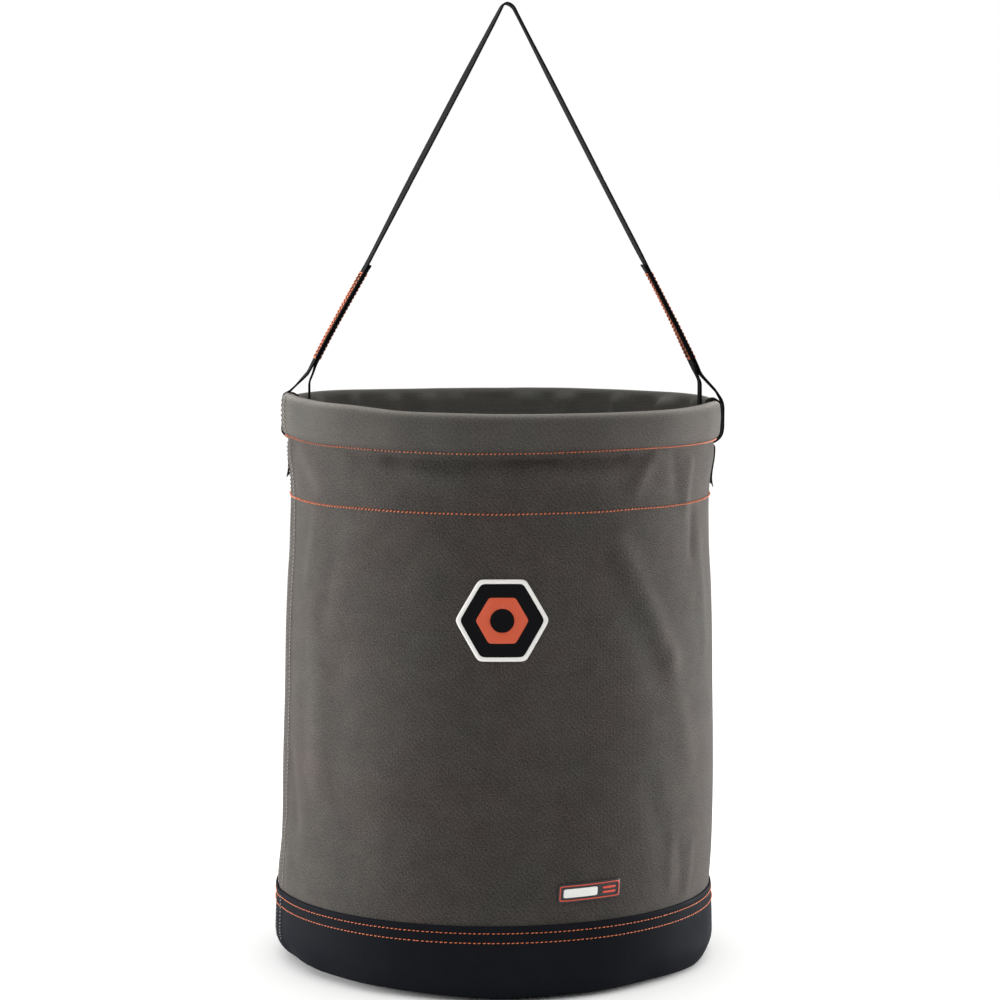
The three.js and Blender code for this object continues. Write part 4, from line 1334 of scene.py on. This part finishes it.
TWILL_PROFILE = [(0, 0.1), (0.5, 0.1), (1, 0.1), (1, 0.8), (0.97, 1.1), (0.75, 1.15), (0.5, 1.15),
                 (0.25, 1.15), (0, 1.15)]
patch_field = band_on_front("patch_twill", nothing, hexagon(PATCH_FLATS - 1), TWILL_PROFILE,
                            on_front, 144)
finish_piece(patch_field, twill_black, "bucket", ["patch_field"])
patch_border = band_on_front("patch_satin_edge", hexagon(PATCH_FLATS - 6.5), hexagon(PATCH_FLATS),
                             satin(0.9, 1.0), on_front, 240)
finish_piece(patch_border, satin_white, "bucket", ["patch_border"])
patch_nut = band_on_front("patch_satin_nut", lambda a: 8.6 + 0 * a, hexagon(33.5),
                          satin(1.0, 0.9), on_front, 180)
finish_piece(patch_nut, satin_orange, "bucket", ["patch_nut"])
print("patch: field, edge and nut")

# %% [markdown]
# ## The rubber tag
# A small plate of soft moulded rubber is sewn on near the boot. Its raised line, block and
# bars are the kind of blank mark that a label has, with no lettering.

# %% Tag finishes and pieces
def matt_grain(tree):
    """A fine matt texture from noise 0.5 mm across, which pales the colour by a quarter."""
    where = add_node(tree, "TexCoord", None, "Object")
    matt = add_node(tree, "TexNoise", {"Vector": where, "Scale": 2000.0})
    share = add_node(tree, "Math", {0: matt, 1: 0.25}, operation="MULTIPLY")
    return share, matt


def make_rubber(name, low, roughness):
    """Moulded soft PVC: one even colour and a matt surface."""
    return patterned(name, low, "#55565a", roughness, matt_grain, 0.15, 0.0002, ior=1.5)


tag_rubber = make_rubber("moulded_pvc_black", "#121214", 0.55)
tag_white = make_rubber("moulded_pvc_white", "#ededea", 0.5)
tag_orange = make_rubber("moulded_pvc_orange", "#d8452a", 0.5)
TAG_CENTRE, TAG_TILT = (294.3, 79.5), 1.0


def on_tag(u, v, out):
    """The wall round the middle of the tag."""
    return on_front(u, v, out, TAG_CENTRE, TAG_TILT)


def box_outline(width, height, corner):
    """A rectangle with rounded corners as a function of the angle: a power mean of the
    distances to its four sides."""
    def outline(angle):
        across = np.abs(np.cos(angle)) / (width / 2)
        up = np.abs(np.sin(angle)) / (height / 2)
        return (across**corner + up**corner) ** (-1 / corner)
    return outline


def shifted(dx, dy):
    """The tag's surface with its middle moved."""
    return lambda u, v, out: on_tag(u + dx, v + dy, out)


def slab(base, rise):
    """Profile of a low moulded block with a rounded top edge."""
    return [(0, base), (0.5, base), (1, base), (1, base + rise * 0.7), (0.985, base + rise * 0.92),
            (0.95, base + rise), (0.5, base + rise), (0, base + rise)]


tag_plate = band_on_front("tag_plate_rubber", nothing, box_outline(49, 13.6, 22),
                          slab(0.1, 1.5), on_tag, 160)
finish_piece(tag_plate, tag_rubber, "bucket", ["tag_plate"])
raised = [(0, 1.4), (1, 1.4), (1, 1.9), (0.8, 2.1), (0.2, 2.1), (0, 1.9)]
tag_border = band_on_front("tag_raised_line", box_outline(45.4, 9.8, 22),
                           box_outline(46.8, 11.3, 22), raised, on_tag, 160)
finish_piece(tag_border, tag_orange, "bucket", ["tag_border"])
tag_block = band_on_front("tag_raised_block", nothing, box_outline(26, 6.4, 16), slab(1.5, 0.6),
                          shifted(-7.5, 0), 96)
finish_piece(tag_block, tag_white, "bucket", ["tag_block"])
for label, up in (("upper", 1.7), ("lower", -1.7)):
    bar = band_on_front(f"tag_raised_bar_{label}", nothing, box_outline(10.5, 1.6, 12),
                        slab(1.5, 0.6), shifted(15, up), 64)
    finish_piece(bar, tag_orange, "bucket", [f"tag_bar_{label}"])
print("tag: plate, line, block and two bars")

# %% [markdown]
# ## What was cut from cloth
# The canvas is one strip sewn into a tube, the boot is a strip of leather, and the floor and
# the panel under it are discs.

# %% [markdown]
# ## Floor, light and camera
# A plain white floor under an even white sky, with a tall soft light at each side, a little
# behind the bucket's front: the sides brighten and the middle stays darker.

# %% Studio
def area_light(name, place_at, aim, size, energy):
    """A rectangular soft light that points at aim."""
    light = bpy.data.lights.new(name, "AREA")
    light.shape = "RECTANGLE"
    light.size, light.size_y = size
    light.energy = energy
    lamp = bpy.data.objects.new(name, light)
    bpy.context.scene.collection.objects.link(lamp)
    lamp.location = place_at
    lamp.rotation_euler = (Vector(aim) - Vector(place_at)).to_track_quat("-Z", "Y").to_euler()
    return lamp


area_light("left_softbox", (-1.85, 0.4, 0.24), (0, 0, 0.24), (1.0, 0.46), 64)
area_light("right_softbox", (1.7, 0.85, 0.24), (0, 0, 0.24), (0.9, 0.46), 66)
world = bpy.data.worlds.new("white_studio")
world.use_nodes = True
sky = world.node_tree
direction = add_node(sky, "TexCoord", None, "Generated")
upward = add_node(sky, "SeparateXYZ", {0: direction}, "Z")
overhead = add_node(sky, "MapRange", {0: upward, 1: 0.0, 2: 0.8, 3: 0.3, 4: 1.3})
seen = add_node(sky, "LightPath", None, "Is Camera Ray")
unseen = add_node(sky, "Math", {0: 1.0, 1: seen}, operation="SUBTRACT")
strength = add_node(sky, "Math", {0: overhead, 1: unseen, 2: seen}, operation="MULTIPLY_ADD")
background = sky.nodes["Background"]
background.inputs["Color"].default_value = (1, 1, 1, 1)
sky.links.new(strength, background.inputs["Strength"])
bpy.context.scene.world = world
bpy.context.scene.view_settings.view_transform = "Standard"

floor_paint = new_finish("white_studio_floor", "#fbfbfa", 0.9)[0]
floor_corners = np.array([(-60, -60, -0.0004), (60, -60, -0.0004), (60, 60, -0.0004),
                          (-60, 60, -0.0004)])
floor = make_mesh("studio_floor", floor_corners, [np.array([[0, 1, 2, 3]])])
floor.data.materials.append(floor_paint)
print("two soft lights, a white sky and a floor")

# %% [markdown]
# The camera stands 2.5 m in front and a little above the rim, looks slightly down and has a
# long lens, so the sides stay nearly upright and the mouth is seen as a thin oval.

# %% Camera
camera_data = bpy.data.cameras.new("studio_camera")
camera_data.lens = 115.817
camera_data.sensor_width = 36
camera = bpy.data.objects.new("studio_camera", camera_data)
camera.location = (0, -2.4712, 0.6038)
camera.rotation_euler = (math.radians(90 - 5.815), 0, 0)
bpy.context.scene.collection.objects.link(camera)
bpy.context.scene.camera = camera
print("camera at", tuple(round(c, 3) for c in camera.location), "m, lens", camera_data.lens)
